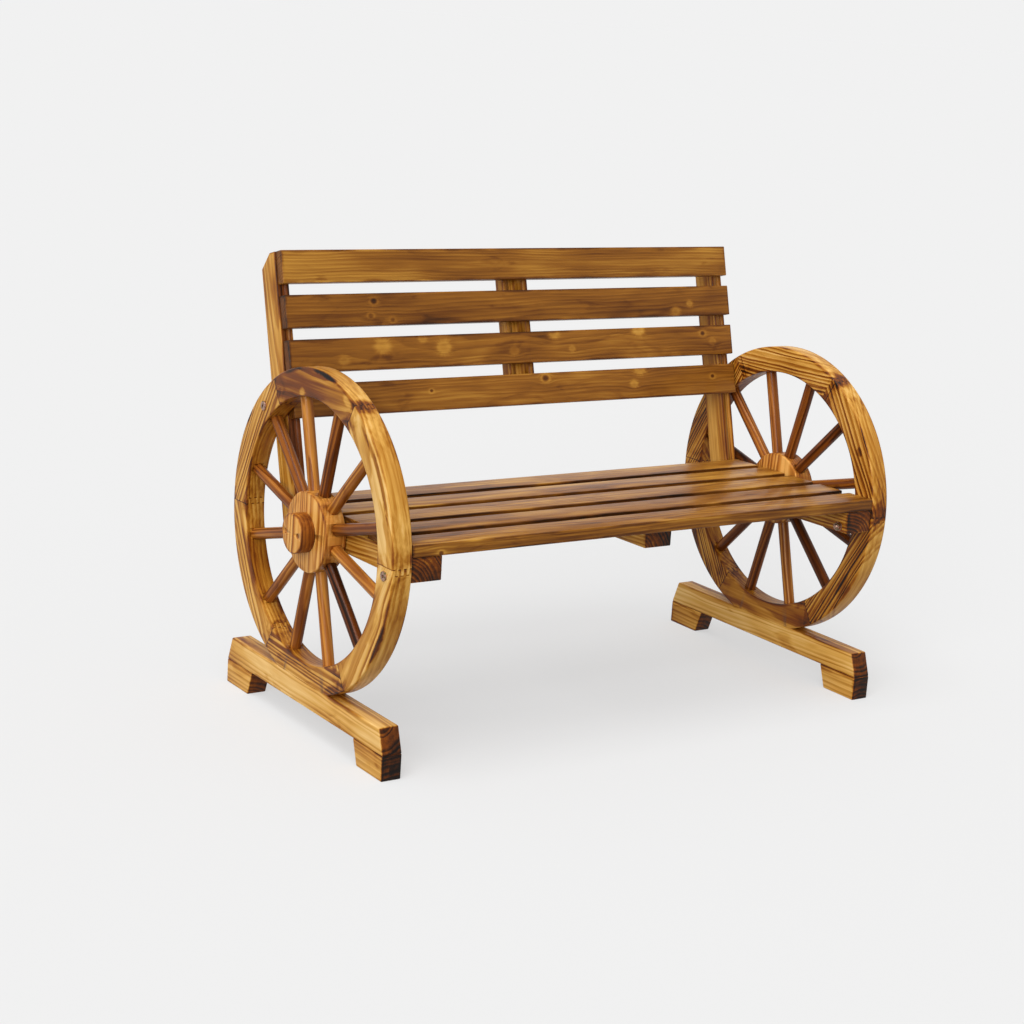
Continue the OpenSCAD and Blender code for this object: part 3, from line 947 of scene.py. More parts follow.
@dataclass
class Wheel:
    """A wagon wheel with six felloes, twelve spokes, a hub and a cap.

    Attributes:
        side: left or right.
        felloe_angle: Angle of one felloe, in radians.
        finger_l: Length of the fingers that join the felloes.
        finger_t: Thickness of a finger.
        outside: Width of the rim's worn outer arrises.
        inside: Width of its worn inner arrises.
        spokes: Number of spokes.
        spoke_d: Diameter of a spoke.
        tenon: How deep a spoke's end sits in the hub and in the rim.
        steps: Facets of a full circle.
    """

    side: str
    felloe_angle: float = math.radians(60)
    finger_l: float = 10 * MM
    finger_t: float = 36 * MM / 7
    outside: float = 3.2 * MM
    inside: float = 2.2 * MM
    spokes: int = 12
    spoke_d: float = 20 * MM
    tenon: float = 12 * MM
    steps: int = 180

    def __post_init__(self) -> None:
        """Reads the wheel's place and sizes from the frame."""
        boxes = [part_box(f"{self.side}_felloe_{i}") for i in range(1, 7)]
        self.low = Vector([min(b[0][i] for b in boxes) for i in range(3)])
        self.high = Vector([max(b[1][i] for b in boxes) for i in range(3)])
        self.outer = (self.high.y - self.low.y) / 2
        self.half_t = (self.high.x - self.low.x) / 2
        self.middle_x = (self.high.x + self.low.x) / 2
        self.axle_z = self.high.z - self.outer
        self.axle = Vector((self.middle_x, 0, self.axle_z))
        self.sign = -1 if self.side == "left" else 1
        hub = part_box(f"{self.side}_hub")
        self.hub_r = (hub[1].z - hub[0].z) / 2
        # The rim's inner radius is that of the nearest vertices on a felloe's flat faces
        self.inner = min(
            math.hypot(v.co.y, v.co.z - self.axle_z)
            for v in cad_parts[f"{self.side}_felloe_2"].data.vertices
            if abs(abs(v.co.x - self.middle_x) - self.half_t) < TOUCHING)

    def ring_place(self, mesh: Mesh, centre_x: float) -> np.ndarray:
        """Finds each vertex's place about the axle.

        Args:
            mesh: A turned piece of the wheel.
            centre_x: The piece's middle along the axle.

        Returns:
            The places, with X outwards from that middle.
        """
        place = points_of(mesh) - np.array([centre_x, 0, self.axle_z])
        place[:, 0] *= self.sign
        return place

    def trim(self, node: str, profile: list[tuple[float, float]], closed: bool,
             radii: tuple[float, ...]) -> Mesh:
        """Cuts a turned shape with its CAD node, so that joints and holes stay true.

        Args:
            node: The CAD node.
            profile: Lathe profile about the axle, with heights from the wheel's middle plane.
            closed: Whether the profile is a ring's.
            radii: The node's turned radii, whose vertices are moved clear of the envelope.

        Returns:
            The mesh.
        """
        reach = 4 * MM
        on_wall = 0.12 * MM
        solid = node_copy(node)
        low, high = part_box(node)
        for vertex in solid.verts:
            spot = vertex.co - self.axle
            radius = math.hypot(spot.y, spot.z)
            on_flat = abs(vertex.co.z - self.low.z) < TOUCHING
            for wall in radii:
                if abs(radius - wall) < on_wall:
                    grow = (wall + (reach if wall == max(radii) else -reach)) / radius
                    vertex.co.y *= grow
                    if not on_flat:
                        vertex.co.z = self.axle_z + spot.z * grow
            if abs(vertex.co.x - high.x) < TOUCHING:
                vertex.co.x += reach
            elif abs(vertex.co.x - low.x) < TOUCHING:
                vertex.co.x -= reach
        envelope = lathe(profile, self.steps, closed)
        turn = Matrix.Translation(self.axle) @ Matrix.Rotation(math.radians(90), 4, "Y")
        bmesh.ops.transform(envelope, matrix=turn, verts=envelope.verts)
        return combine(envelope, solid, "INTERSECT", node + "_torched")

    def build_felloes(self, material: Material, looks: tuple[FelloeLook, ...]) -> None:
        """Makes the six felloes.

        Args:
            material: The felloes' finish.
            looks: Look of each felloe, from the upper rear over the top to the front.
        """
        middle = ((self.outer + self.inner) / 2, 0.0)
        t = self.half_t
        section = (rounded((self.outer, t), middle, self.outside)
                   + rounded((self.outer, -t), middle, self.outside)[::-1]
                   + rounded((self.inner, -t), middle, self.inside)
                   + rounded((self.inner, t), middle, self.inside)[::-1])
        for i, look in enumerate(looks, 1):
            node = f"{self.side}_felloe_{i}"
            angle = (i - 0.5) * self.felloe_angle
            out = (0.0, math.cos(angle), math.sin(angle))
            along = (0.0, -math.sin(angle), math.cos(angle))
            mesh = self.trim(node, section, True, (self.outer, self.inner))
            # The bore of each felloe gets a painted shade, 0.16 darker where it faces the axle
            timber = Timber(columns(along, out, X_AXIS), (look.pith_out, look.pith_through),
                            look.tone, look.scorch, look.coarse, burnt=(0.0, 0.03, look.face),
                            lines=(1.0, 0.28, look.lines), painted_bore_shade=0.16)
            mark_grain(mesh, node, timber, self.axle + Vector(out) * middle[0],
                       self.ring_place(mesh, self.middle_x),
                       Vector((self.half_t, self.outer, self.inner)))
            finish_piece(node + "_torched", mesh, material, [node])

    def build_hub(self, material: Material) -> None:
        """Makes the hub and the cap on it.

        Args:
            material: Their finish.
        """
        # Tone, scorch, width of the arris, place of the pith and darkness of the turned side
        tone = 0.1 if self.side == "right" else 0.0
        parts = {"hub": (tone, 0.5, 2.2 * MM, (30.0, 60.0), 0.16),
                 "hub_cap": (0.12, 0.3, 2.0 * MM, (20.0, 45.0), 0.24)}
        for part, (tone, scorch, arris, pith, turned) in parts.items():
            node = f"{self.side}_{part}"
            low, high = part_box(node)
            radius = (high.z - low.z) / 2
            rear, front = low.x - self.middle_x, high.x - self.middle_x
            centre = (0.0, (rear + front) / 2)
            section = ([(0.0, front)] + rounded((radius, front), centre, arris)
                       + rounded((radius, rear), centre, arris)[::-1] + [(0.0, rear)])
            mesh = self.trim(node, section, False, (radius,))
            timber = Timber(columns(Z_AXIS, Y_AXIS, X_AXIS), pith, tone, scorch,
                            burnt=(turned, turned, 0.0), lines=(0.5, 0.5, 1.3))
            middle = (low + high) / 2
            # A disc has no bore, so its inner radius lies out of reach
            mark_grain(mesh, node, timber, middle, self.ring_place(mesh, middle.x),
                       Vector(((high.x - low.x) / 2, radius, -1.0)))
            finish_piece(node + "_torched", mesh, material, [node])

    def build_spokes(self, material: Material, tones: tuple[float, ...]) -> None:
        """Makes the twelve spokes with one Geometry Nodes tree.

        Args:
            material: The spokes' finish.
            tones: How much darker each spoke is, from the rear over the top to the front.
        """
        name = self.side + "_spokes_turned"
        holder = place_object("spoke_holder", bpy.data.meshes.new("spoke_holder"))
        modifier = holder.modifiers.new("spokes", "NODES")
        modifier.node_group = spoke_tree()
        values = {"Inner radius": self.hub_r - self.tenon, "Outer radius": self.inner + self.tenon,
                  "Diameter": self.spoke_d, "Count": self.spokes, "Axle": tuple(self.axle),
                  "Seed": 7 if self.side == "left" else 4, "Finish": material}
        set_inputs(modifier, values)
        mesh = evaluated_mesh(holder, name)
        discard(holder)
        marks = np.zeros(len(mesh.vertices) * 3, np.float32)
        mesh.attributes["mark"].data.foreach_get("vector", marks)
        marks.reshape(self.spokes, -1, 3)[:, :, 0] = np.array(tones)[:, None]
        mesh.attributes["mark"].data.foreach_set("vector", marks)
        finish_piece(name, mesh, material,
                     [f"{self.side}_spokes_{i}" for i in range(1, 7)], 40)


def set_inputs(modifier: Modifier, values: dict[str, object]) -> None:
    """Sets a Geometry Nodes modifier's inputs by their sockets' identifiers.

    Args:
        modifier: The modifier.
        values: The inputs' values by name.
    """
    for item in modifier.node_group.interface.items_tree:
        if item.item_type == "SOCKET" and item.in_out == "INPUT" and item.name in values:
            modifier[item.identifier] = values[item.name]


def new_tree(name: str, inputs: dict[str, str]) -> tuple[NodeTree, Node]:
    """Starts a Geometry Nodes tree with named inputs and one geometry output.

    Args:
        name: The tree's name.
        inputs: Socket type of each input, by name.

    Returns:
        The tree and its group input node.
    """
    tree = bpy.data.node_groups.new(name, "GeometryNodeTree")
    tree.interface.new_socket("Geometry", in_out="OUTPUT", socket_type="NodeSocketGeometry")
    for title, kind in inputs.items():
        tree.interface.new_socket(title, in_out="INPUT", socket_type="NodeSocket" + kind)
    return tree, tree.nodes.new("NodeGroupInput")


def spoke_tree() -> NodeTree:
    """Geometry Nodes tree of a wheel's spokes: turned rods, each cut from its own log.

    Returns:
        The tree, made once and shared by both wheels.
    """
    if "spokes" in bpy.data.node_groups:
        return bpy.data.node_groups["spokes"]
    tree, given = new_tree("spokes", {
        "Inner radius": "Float", "Outer radius": "Float", "Diameter": "Float", "Count": "Int",
        "Axle": "Vector", "Seed": "Int", "Finish": "Material"})
    near, far, width, count, axle, seed, finish = given.outputs[:7]
    node = partial(add, tree)
    line = node("GeometryNodeCurvePrimitiveLine", Start=node("CombineXYZ", None, None, near),
                End=node("CombineXYZ", None, None, far))
    line = node("GeometryNodeResampleCurve", Curve=line, Count=30)
    ring = node("GeometryNodeCurvePrimitiveCircle", Resolution=28,
                Radius=node("Math MULTIPLY", width, 0.5))
    rod = node("GeometryNodeCurveToMesh", Curve=line, Profile_Curve=ring, Fill_Caps=True)
    x, y, z = node("SeparateXYZ", node("GeometryNodeInputPosition")).node.outputs
    rod = node("GeometryNodeStoreNamedAttribute", Geometry=rod, Name="grain",
               Value=node("CombineXYZ", z, x, y), data_type="FLOAT_VECTOR", domain="POINT")

    # Every second spoke would lie on a joint, so the first stands half a step from the rear
    hubs = node("GeometryNodePoints", Count=count, Position=axle)
    step = node("Math DIVIDE", 2 * math.pi, count)
    angle = node("Math ADD", node("GeometryNodeInputIndex"), 0.5)
    angle = node("Math MULTIPLY_ADD", angle, step, -math.pi / 2)
    turn = node("FunctionNodeEulerToRotation", node("CombineXYZ", angle))
    rods = node("GeometryNodeInstanceOnPoints", Points=hubs, Instance=rod, Rotation=turn)

    # Scorch and seed of each rod, and the place of its pith
    lots = {"mark": ((0.0, 0.0, 0.0), (0.0, 1.0, 40.0)),
            "pith": ((-2.0, -0.05, 0.02), (2.0, 0.05, 0.07))}
    for name, (least, most) in lots.items():
        lot = node("FunctionNodeRandomValue", least, most, Seed=seed, data_type="FLOAT_VECTOR")
        rods = node("GeometryNodeStoreNamedAttribute", Geometry=rods, Name=name, Value=lot,
                    data_type="FLOAT_VECTOR", domain="INSTANCE")
    rods = node("GeometryNodeRealizeInstances", Geometry=rods)
    stored = [node("GeometryNodeInputNamedAttribute", Name=name, data_type="FLOAT_VECTOR")
              for name in ("grain", "pith")]
    rods = node("GeometryNodeStoreNamedAttribute", Geometry=rods, Name="grain",
                Value=node("VectorMath ADD", *stored), data_type="FLOAT_VECTOR", domain="POINT")
    node("NodeGroupOutput", node("GeometryNodeSetMaterial", Geometry=rods, Material=finish))
    return tree


@dataclass
class Seat:
    """Five seat slats on three beams.

    Attributes:
        fall: How far the seat falls to the back, in degrees.
        arris: Width of the rounded arrises, in millimetres.
        tones: Tone of each slat from the front.
        fronts: How much darker each slat's long edges are, from the front.
    """

    fall: float = 1.0
    arris: float = 2.2
    tones: tuple[float, ...] = (0.06, 0.1, 0.02, 0.02, 0.02)
    fronts: tuple[float, ...] = (0.06, 0.26, 0.26, 0.26, 0.26)

    def build(self, slat_woods: list[Material], beam_wood: Material) -> None:
        """Makes the slats and the beams.

        Args:
            slat_woods: The finish of each slat from the front.
            beam_wood: The beams' finish.
        """
        tilt = Matrix.Rotation(math.radians(-self.fall), 3, "X")
        for i, (wood, tone, front) in enumerate(zip(slat_woods, self.tones, self.fronts), 1):
            node = f"seat_slat_{i}"
            draw = random.Random("pith " + node)
            timber = Timber(tilt @ columns(X_AXIS, Y_AXIS, Z_AXIS),
                            (draw.uniform(-30, 30), draw.uniform(25, 60)), tone, 0.5,
                            burnt=(0.2, front, 0.0))
            make_board(node, timber, self.arris, wood)
        for node in ("left_beam", "middle_beam", "right_beam"):
            draw = random.Random("pith " + node)
            timber = Timber(tilt @ columns(Y_AXIS, X_AXIS, Z_AXIS),
                            (draw.uniform(30, 60), draw.uniform(40, 60)), 0.0, 0.4,
                            burnt=(0.38, 0.0, 0.0))
            make_board(node, timber, self.arris, beam_wood)


@dataclass
class Back:
    """Four back slats on two end posts and a middle batten.

    Attributes:
        lean: How far the back leans, in degrees from upright.
        arris: Width of the rounded arrises, in millimetres.
        tones: Tone of each slat from the top.
        piths: Place of each slat's pith across and through it, in millimetres.
        posts: Tone of each upright, and how much darker its front and its sides are.
    """

    lean: float = 15.3
    arris: float = 2.0
    tones: tuple[float, ...] = (-0.03, 0.06, 0.04, 0.04)
    piths: tuple[tuple[float, float], ...] = ((26.0, 70.0), (40.0, 40.0), (44.0, -30.0),
                                              (30.0, 34.0))
    posts: tuple[tuple[str, float, float, float], ...] = (
        ("left_post", 0.0, 0.24, 0.0), ("middle_batten", 0.0, 0.14, 0.1),
        ("right_post", 0.02, 0.16, 0.06))

    def build(self, slat_woods: list[Material], post_wood: Material) -> None:
        """Makes the slats, the posts and the batten.

        Args:
            slat_woods: The finish of each slat, with its knots.
            post_wood: The finish of the posts and the batten.
        """
        lean = Matrix.Rotation(math.radians(-self.lean), 3, "X")
        for i, (wood, tone, pith) in enumerate(zip(slat_woods, self.tones, self.piths), 1):
            timber = Timber(lean @ columns(X_AXIS, Y_AXIS, Z_AXIS), pith, tone, 0.5,
                            burnt=(0.2, 0.0, 0.0))
            make_board(f"back_slat_{i}", timber, self.arris, wood)
        for node, tone, front, side in self.posts:
            draw = random.Random("pith " + node)
            timber = Timber(lean @ columns(Z_AXIS, Y_AXIS, X_AXIS),
                            (draw.uniform(-20, 20), draw.uniform(30, 60)), tone, 0.3,
                            burnt=(0.3, front, side), lines=(1.0, 0.4, 0.7))
            make_board(node, timber, self.arris, post_wood)


@dataclass(frozen=True)
class Spot:
    """Where one fastener sits.

    Attributes:
        head: Middle of its head's outer end.
        axis: Unit vector from the head to the tip.
        length: Its whole length.
        width: Its greatest diameter.
    """

    head: Vector
    axis: Vector
    length: float
    width: float


def fastener_spots(node: str, flat: bool) -> list[Spot]:
    """Finds where each fastener of a CAD node sits.

    Args:
        node: The CAD node with a group of fasteners.
        flat: Whether they are shorter than wide, as nuts and washers are.

    Returns:
        The fasteners' places.
    """
    shape = node_copy(node)
    known = set()
    spots = []
    for start in shape.verts:
        if start in known:
            continue
        known.add(start)
        island = [start]
        for vertex in island:
            for edge in vertex.link_edges:
                other = edge.other_vert(vertex)
                if other not in known:
                    known.add(other)
                    island.append(other)
        points = np.array([v.co for v in island])
        # The middle is taken in the fastener's own axes, so that it lies on a leaning screw's axis
        _, vectors = np.linalg.eigh(np.cov((points - points.mean(0)).T))
        own = points @ vectors
        centre = vectors @ ((own.min(0) + own.max(0)) / 2)
        axis = vectors[:, 0 if flat else 2]
        along = (points - centre) @ axis
        spread = np.linalg.norm(points - centre - np.outer(along, axis), axis=1)
        # The head is the wider end, and a flat piece faces away from the bench's middle
        upper = spread[along > 0.25 * along.max()].max()
        lower = spread[along < 0.25 * along.min()].max()
        if (flat and axis[0] * centre[0] > 0) or (not flat and upper > lower):
            axis, along = -axis, -along
        spots.append(Spot(Vector(centre + axis * along.min()), Vector(axis).normalized(),
                          float(along.max() - along.min()), float(spread.max() * 2)))
    shape.free()
    return spots


def fastener_tree() -> NodeTree:
    """Geometry Nodes tree that sets one fastener on every place.

    Returns:
        The tree, made once and shared by all fasteners.
    """
    if "fasteners" in bpy.data.node_groups:
        return bpy.data.node_groups["fasteners"]
    tree, given = new_tree("fasteners", {
        "Places": "Geometry", "Fastener": "Object", "Seed": "Int", "Finish": "Material"})
    places, thing, seed, finish = given.outputs[:4]
    node = partial(add, tree)
    shape = node("GeometryNodeObjectInfo", Object=thing, out="Geometry")
    axis = node("GeometryNodeInputNamedAttribute", Name="axis", data_type="FLOAT_VECTOR")
    aim = node("FunctionNodeAlignRotationToVector", Vector=axis, axis="Z")
    angle = node("FunctionNodeRandomValue", None, None, 0.0, 2 * math.pi, Seed=seed, out=1,
                 data_type="FLOAT")
    spin = node("FunctionNodeEulerToRotation", node("CombineXYZ", None, None, angle))
    turned = node("FunctionNodeRotateRotation", Rotation=aim, Rotate_By=spin,
                  rotation_space="LOCAL")
    parts = node("GeometryNodeInstanceOnPoints", Points=places, Instance=shape, Rotation=turned)
    parts = node("GeometryNodeRealizeInstances", Geometry=parts)
    node("NodeGroupOutput", node("GeometryNodeSetMaterial", Geometry=parts, Material=finish))
    return tree


@dataclass
class Fasteners:
    """The bolts, washers, nuts and screws that hold the bench together.

    Attributes:
        screw_d: Diameter of a wood screw's shank.
        screw_head_d: Diameter of its head.
        screw_tip: Length of its point.
        screw_pitch: Distance between two of its thread crests.
        recess: Half length and half width of its cross recess's arms, and the recess's depth.
        bolt_d: Diameter of a bolt.
        bolt_head_t: Thickness of its round head.
        bolt_edge: Height of the round at the head's rim.
        key: Width across the flats of its key socket.
        thread: Distance between two of its thread crests.
        threaded: Length of its thread.
        play: How much wider than the bolt a nut's or washer's bore is, on each side.
    """

    screw_d: float = 4.5 * MM
    screw_head_d: float = 9 * MM
    screw_tip: float = 5 * MM
    screw_pitch: float = 2.4 * MM
    recess: tuple[float, float, float] = (2.6 * MM, 0.55 * MM, 2.2 * MM)
    bolt_d: float = 8 * MM
    bolt_head_t: float = 3 * MM
    bolt_edge: float = 0.9 * MM
    key: float = 5 * MM
    thread: float = 1.25 * MM
    threaded: float = 24 * MM
    play: float = 0.1 * MM

    def screw(self, length: float) -> Mesh:
        """A countersunk wood screw with a cross recess, along +Z from its head.

        Args:
            length: Its length.

        Returns:
            The mesh.
        """
        r, head, pitch = self.screw_d / 2, self.screw_head_d / 2, self.screw_pitch
        cone = self.screw_head_d / 3
        end = length - self.screw_tip
        z = cone + 8 * MM
        profile = [(0.0, 0.0), (head - 0.3 * MM, 0.0), (head, 0.25 * MM), (r, cone), (r, z)]
        # The thread is cut down to three quarters of the shank
        while z < end:
            profile += [(0.75 * r, z + pitch / 4), (0.75 * r, z + pitch * 3 / 4), (r, z + pitch)]
            z += pitch
        profile = [p for p in profile if p[1] < end + 0.1 * MM]
        profile += [(0.7 * r, length - 0.6 * self.screw_tip), (0.0, length)]
        return combine(lathe(profile, 24), self.cross_cutter(), "DIFFERENCE", "screw_shape")

    def cross_cutter(self) -> BMesh:
        """One closed prism with a plus-shaped section, which cuts a screw's recess.

        Returns:
            The prism, from below to above the face of the head.
        """
        arm, half_w, deep = self.recess
        turns = [Matrix.Rotation(math.radians(90 * k), 3, "Z") for k in range(4)]
        corners = [turn @ Vector((x, y, deep)) for turn in turns
                   for x, y in ((arm, -half_w), (arm, half_w), (half_w, half_w))]
        shape = bmesh.new()
        low, high = [[shape.verts.new((x, y, side * z)) for x, y, z in corners]
                     for side in (-1, 1)]
        shape.faces.new(low)
        shape.faces.new(high)
        for k in range(len(corners)):
            shape.faces.new((low[k - 1], low[k], high[k], high[k - 1]))
        bmesh.ops.recalc_face_normals(shape, faces=shape.faces)
        return shape

    def bolt(self, length: float, width: float) -> Mesh:
        """A round-headed bolt with a key socket and threads at its end, along +Z from its head.

        Args:
            length: Its length.
            width: Its head's diameter.

        Returns:
            The mesh.
        """
        r, head, edge = self.bolt_d / 2, width / 2, self.bolt_edge
        z = length - self.threaded
        profile = [(0.0, 0.0), (head - 2.2 * edge, 0.0), (head - edge, 0.25 * edge),
                   (head - 0.3 * edge, 0.6 * edge), (head, 1.4 * edge),
                   (head, self.bolt_head_t), (r, self.bolt_head_t), (r, z)]
        while z < length - 2 * self.thread:
            profile += [(0.86 * r, z + self.thread / 2), (r, z + self.thread)]
            z += self.thread
        profile += [(0.8 * r, length), (0.0, length)]
        corner = self.key / math.sqrt(3)
        socket = lathe([(0.0, -1 * MM), (corner, -1 * MM), (corner, 2 * MM), (0.0, 2 * MM)], 6)
        return combine(lathe(profile, 40), socket, "DIFFERENCE", "bolt_shape")

    def washer(self, length: float, width: float) -> Mesh:
        """A flat washer with softened rims.

        Args:
            length: Its thickness.
            width: Its diameter.

        Returns:
            The mesh.
        """
        bore, r, t = self.bolt_d / 2 + self.play, width / 2, length
        middle = ((bore + r) / 2, t / 2)
        profile = []
        for radius, arris, heights in ((r, 0.3 * MM, (t, 0.0)), (bore, 0.2 * MM, (0.0, t))):
            profile += rounded((radius, heights[0]), middle, arris, 2)
            profile += rounded((radius, heights[1]), middle, arris, 2)[::-1]
        return to_mesh(lathe(profile, 40, closed=True), "washer_shape")

    def nut(self, length: float, width: float) -> Mesh:
        """A hexagon nut whose corners are turned off to a cone.

        Args:
            length: Its height.
            width: Its width over the corners.

        Returns:
            The mesh.
        """
        bore, r, t = self.bolt_d / 2 + self.play, width / 2 + 0.1 * MM, length
        cone, lead = 0.14 * r, 0.4 * MM
        profile = [(bore, lead), (bore + lead, 0.0), (r - 1.6 * cone, 0.0), (r, cone),
                   (r, t - cone), (r - 1.6 * cone, t), (bore + lead, t), (bore, t - lead)]
        prism = lathe([(0.0, -1 * MM), (width / 2, -1 * MM), (width / 2, t + 1 * MM),
                       (0.0, t + 1 * MM)], 6)
        return combine(lathe(profile, 48, closed=True), prism, "INTERSECT", "nut_shape")

    def build(self, plated: Material, bare: Material) -> None:
        """Makes all groups of fasteners.

        Args:
            plated: Finish of the bolts, washers and nuts.
            bare: Finish of the wood screws.
        """
        for kind, make in (("bolts", self.bolt), ("washers", self.washer), ("nuts", self.nut)):
            self.build_group("wheel_" + kind, make, kind != "bolts", plated)
        for group in ("base", "cap", "seat", "back", "batten", "post"):
            self.build_group(group + "_screws", lambda length, width: self.screw(length), False,
                             bare)

    def build_group(self, node: str, make: Callable[[float, float], Mesh], flat: bool,
                    material: Material) -> None:
        """Makes one group of like fasteners.

        Args:
            node: The CAD node with the group.
            make: Function that makes a fastener's mesh from its length and width.
            flat: Whether the fasteners are shorter than wide.
            material: Their finish.
        """
        # Fasteners whose lengths agree to 0.2 mm share one shape
        lots: dict[int, list[Spot]] = {}
        for spot in fastener_spots(node, flat):
            lots.setdefault(round(spot.length / (0.2 * MM)), []).append(spot)
        whole = bmesh.new()
        for number, spots in enumerate(lots[key] for key in sorted(lots)):
            shape = place_object("fastener", make(spots[0].length, spots[0].width))
            points = bpy.data.meshes.new("places")
            points.from_pydata([s.head for s in spots], [], [])
            set_attribute(points, "axis", np.array([list(s.axis) for s in spots]))
            holder = place_object("fastener_holder", points)
            modifier = holder.modifiers.new("fasteners", "NODES")
            modifier.node_group = fastener_tree()
            set_inputs(modifier, {"Fastener": shape, "Seed": 3 + number, "Finish": material})
            mesh = evaluated_mesh(holder, "fastener_lot")
            whole.from_mesh(mesh)
            bpy.data.meshes.remove(mesh)
            discard(holder, shape)
        name = node + "_plated"
        finish_piece(name, to_mesh(whole, name), material, [node], 35)


@dataclass
class Studio:
    """Plain pale floor and backdrop, soft light and the camera.

    Attributes:
        eye: The camera's place.
        yaw: Angle of its view from +Y towards +X, in degrees.
        pitch: Angle of its view above the horizon, in degrees.
        roll: Turn about its view, in degrees.
        lens: Focal length in millimetres on a sensor 36 mm wide.
        sky: Strength of the even light from all round.
        key: Strength of the soft key light from above.
        side: Strength of the soft light from the front left.
        fall: Direction in which the key's light travels.
        sweep: Direction in which the side light travels.
        softness: Angle that a lamp covers in the sky, in degrees.
        bounce: Share of the floor's light that reaches the bench.
        floor_size: Half the width of the floor.
        shadow: Share of the floor's look that comes from the light on it.
    """

    eye: tuple[float, float, float] = (-2.1247, -2.8747, 1.1855)
    yaw: float = 34.925
    pitch: float = -13.536
    roll: float = 3.93
    lens: float = 72.70
    sky: float = 0.43
    key: float = 1.6
    side: float = 1.85
    fall: tuple[float, float, float] = (0.3, 0.12, -1.0)
    sweep: tuple[float, float, float] = (0.75, 0.6, -0.4)
    softness: float = 40.0
    bounce: float = 0.42
    floor_size: float = 400.0
    shadow: float = 0.4

    def build_camera(self) -> None:
        """Sets the camera at the photograph's viewing angle."""
        yaw, pitch, roll = (math.radians(a) for a in (self.yaw, self.pitch, self.roll))
        view = Vector((math.sin(yaw) * math.cos(pitch), math.cos(yaw) * math.cos(pitch),
                       math.sin(pitch)))
        right = Vector((math.cos(yaw), -math.sin(yaw), 0.0))
        up = right.cross(view)
        right, up = (right * math.cos(roll) + up * math.sin(roll),
                     up * math.cos(roll) - right * math.sin(roll))
        data = bpy.data.cameras.new("camera")
        data.lens = self.lens
        data.sensor_width = 36.0
        data.clip_end = 2000.0
        camera = bpy.data.objects.new("camera", data)
        camera.matrix_world = (Matrix.Translation(self.eye)
                               @ Matrix((right, up, -view)).transposed().to_4x4())
        bpy.context.scene.collection.objects.link(camera)
        bpy.context.scene.camera = camera

    def build_world(self) -> None:
        """Even light all round, which the camera and reflections see as the studio's white."""
        world = bpy.data.worlds.new("studio")
        world.use_nodes = True
        world.node_tree.nodes.clear()
        node = partial(add, world.node_tree)
        light = node("Background", (1, 1, 1, 1), self.sky)
        white = node("Background", linear(STUDIO_WHITE), 1.0)
        seen = self.seen_directly(world.node_tree)
        node("OutputWorld", node("MixShader", seen, light, white))
        bpy.context.scene.world = world

    def seen_directly(self, tree: NodeTree) -> NodeSocket:
        """Tells rays that show the studio from rays that light the bench.

        Args:
            tree: The world's or the floor's tree.

        Returns:
            One for rays from the camera, a reflection or a transmission, and zero for light.
        """
        rays = add(tree, "LightPath").node.outputs
        total = add(tree, "Math ADD", rays["Is Camera Ray"], rays["Is Glossy Ray"])
        return add(tree, "Math ADD", total, rays["Is Transmission Ray"], use_clamp=True)

    def build_floor(self) -> None:
        """A wide floor that keeps the bench's shadow and fades into the backdrop."""
        shape = bmesh.new()
        shape.faces.new([shape.verts.new((x * self.floor_size, y * self.floor_size, 0.0))
                         for x, y in ((-1, -1), (1, -1), (1, 1), (-1, 1))])
        floor = place_object("floor", to_mesh(shape, "floor"))
        material, tree = new_material("studio_floor")
        node = partial(add, tree)
        # The grey at which the fully lit floor is as bright as the backdrop
        light = self.sky
        for power, direction in ((self.key, self.fall), (self.side, self.sweep)):
            light -= power * Vector(direction).normalized().z / math.pi
        grey = linear(STUDIO_WHITE)[0] / light
        diffuse = node("LightPath", out="Is Diffuse Ray")
        level = node("MapRange", diffuse, None, None, grey, grey * self.bounce)
        white = node("Emission", linear(STUDIO_WHITE), 1.0)
        share = node("Math MULTIPLY", self.seen_directly(tree), 1 - self.shadow)
        mixed = node("MixShader", share, node("BsdfDiffuse", level), white)
        node("OutputMaterial", Surface=mixed)
        floor.data.materials.append(material)

    def build_lamps(self) -> None:
        """Two wide, soft lamps. Suns are used because they light the whole floor evenly."""
        for name, power, direction in (("key", self.key, self.fall),
                                       ("side", self.side, self.sweep)):
            data = bpy.data.lights.new(name, "SUN")
            data.energy = power
            data.angle = math.radians(self.softness)
            lamp = bpy.data.objects.new(name, data)
            lamp.rotation_euler = Vector(direction).to_track_quat("-Z", "Y").to_euler()
            bpy.context.scene.collection.objects.link(lamp)

    def build(self) -> None:
        """Builds the whole studio."""
        bpy.context.scene.view_settings.view_transform = "Standard"
        self.build_camera()
        self.build_world()
        self.build_floor()
        self.build_lamps()


# Knots of the four back slats, from the top
BACK_KNOTS = (
    (),
    (Knot(-311, 14, 7, KnotKind.DARK), Knot(-319, -11, 6, KnotKind.RED),
     Knot(-276, -19, 5, KnotKind.RED), Knot(350, -19, 7), Knot(385, -5, 5)),
    (Knot(-301, 12, 10), Knot(-176, 6, 10), Knot(-219, 23, 6, KnotKind.FAINT),
     Knot(-379, -10, 7, KnotKind.FAINT), Knot(62, 24, 8), Knot(257, 25, 9),
     Knot(411, 13, 6, KnotKind.DARK), Knot(434, -3, 6, KnotKind.FAINT),
     Knot(-27, -5, 7, KnotKind.FAINT), Knot(101, -6, 5, KnotKind.FAINT)),
    (Knot(-209, 6, 4, KnotKind.DARK), Knot(36, 18, 8, KnotKind.DARK), Knot(253, 28, 9),
     Knot(427, 6, 5, KnotKind.DARK), Knot(237, -1, 6)),
)

# The knot in the front edge of the front seat slat
SEAT_KNOTS = (Knot(-432, -6, 5, KnotKind.DARK),)

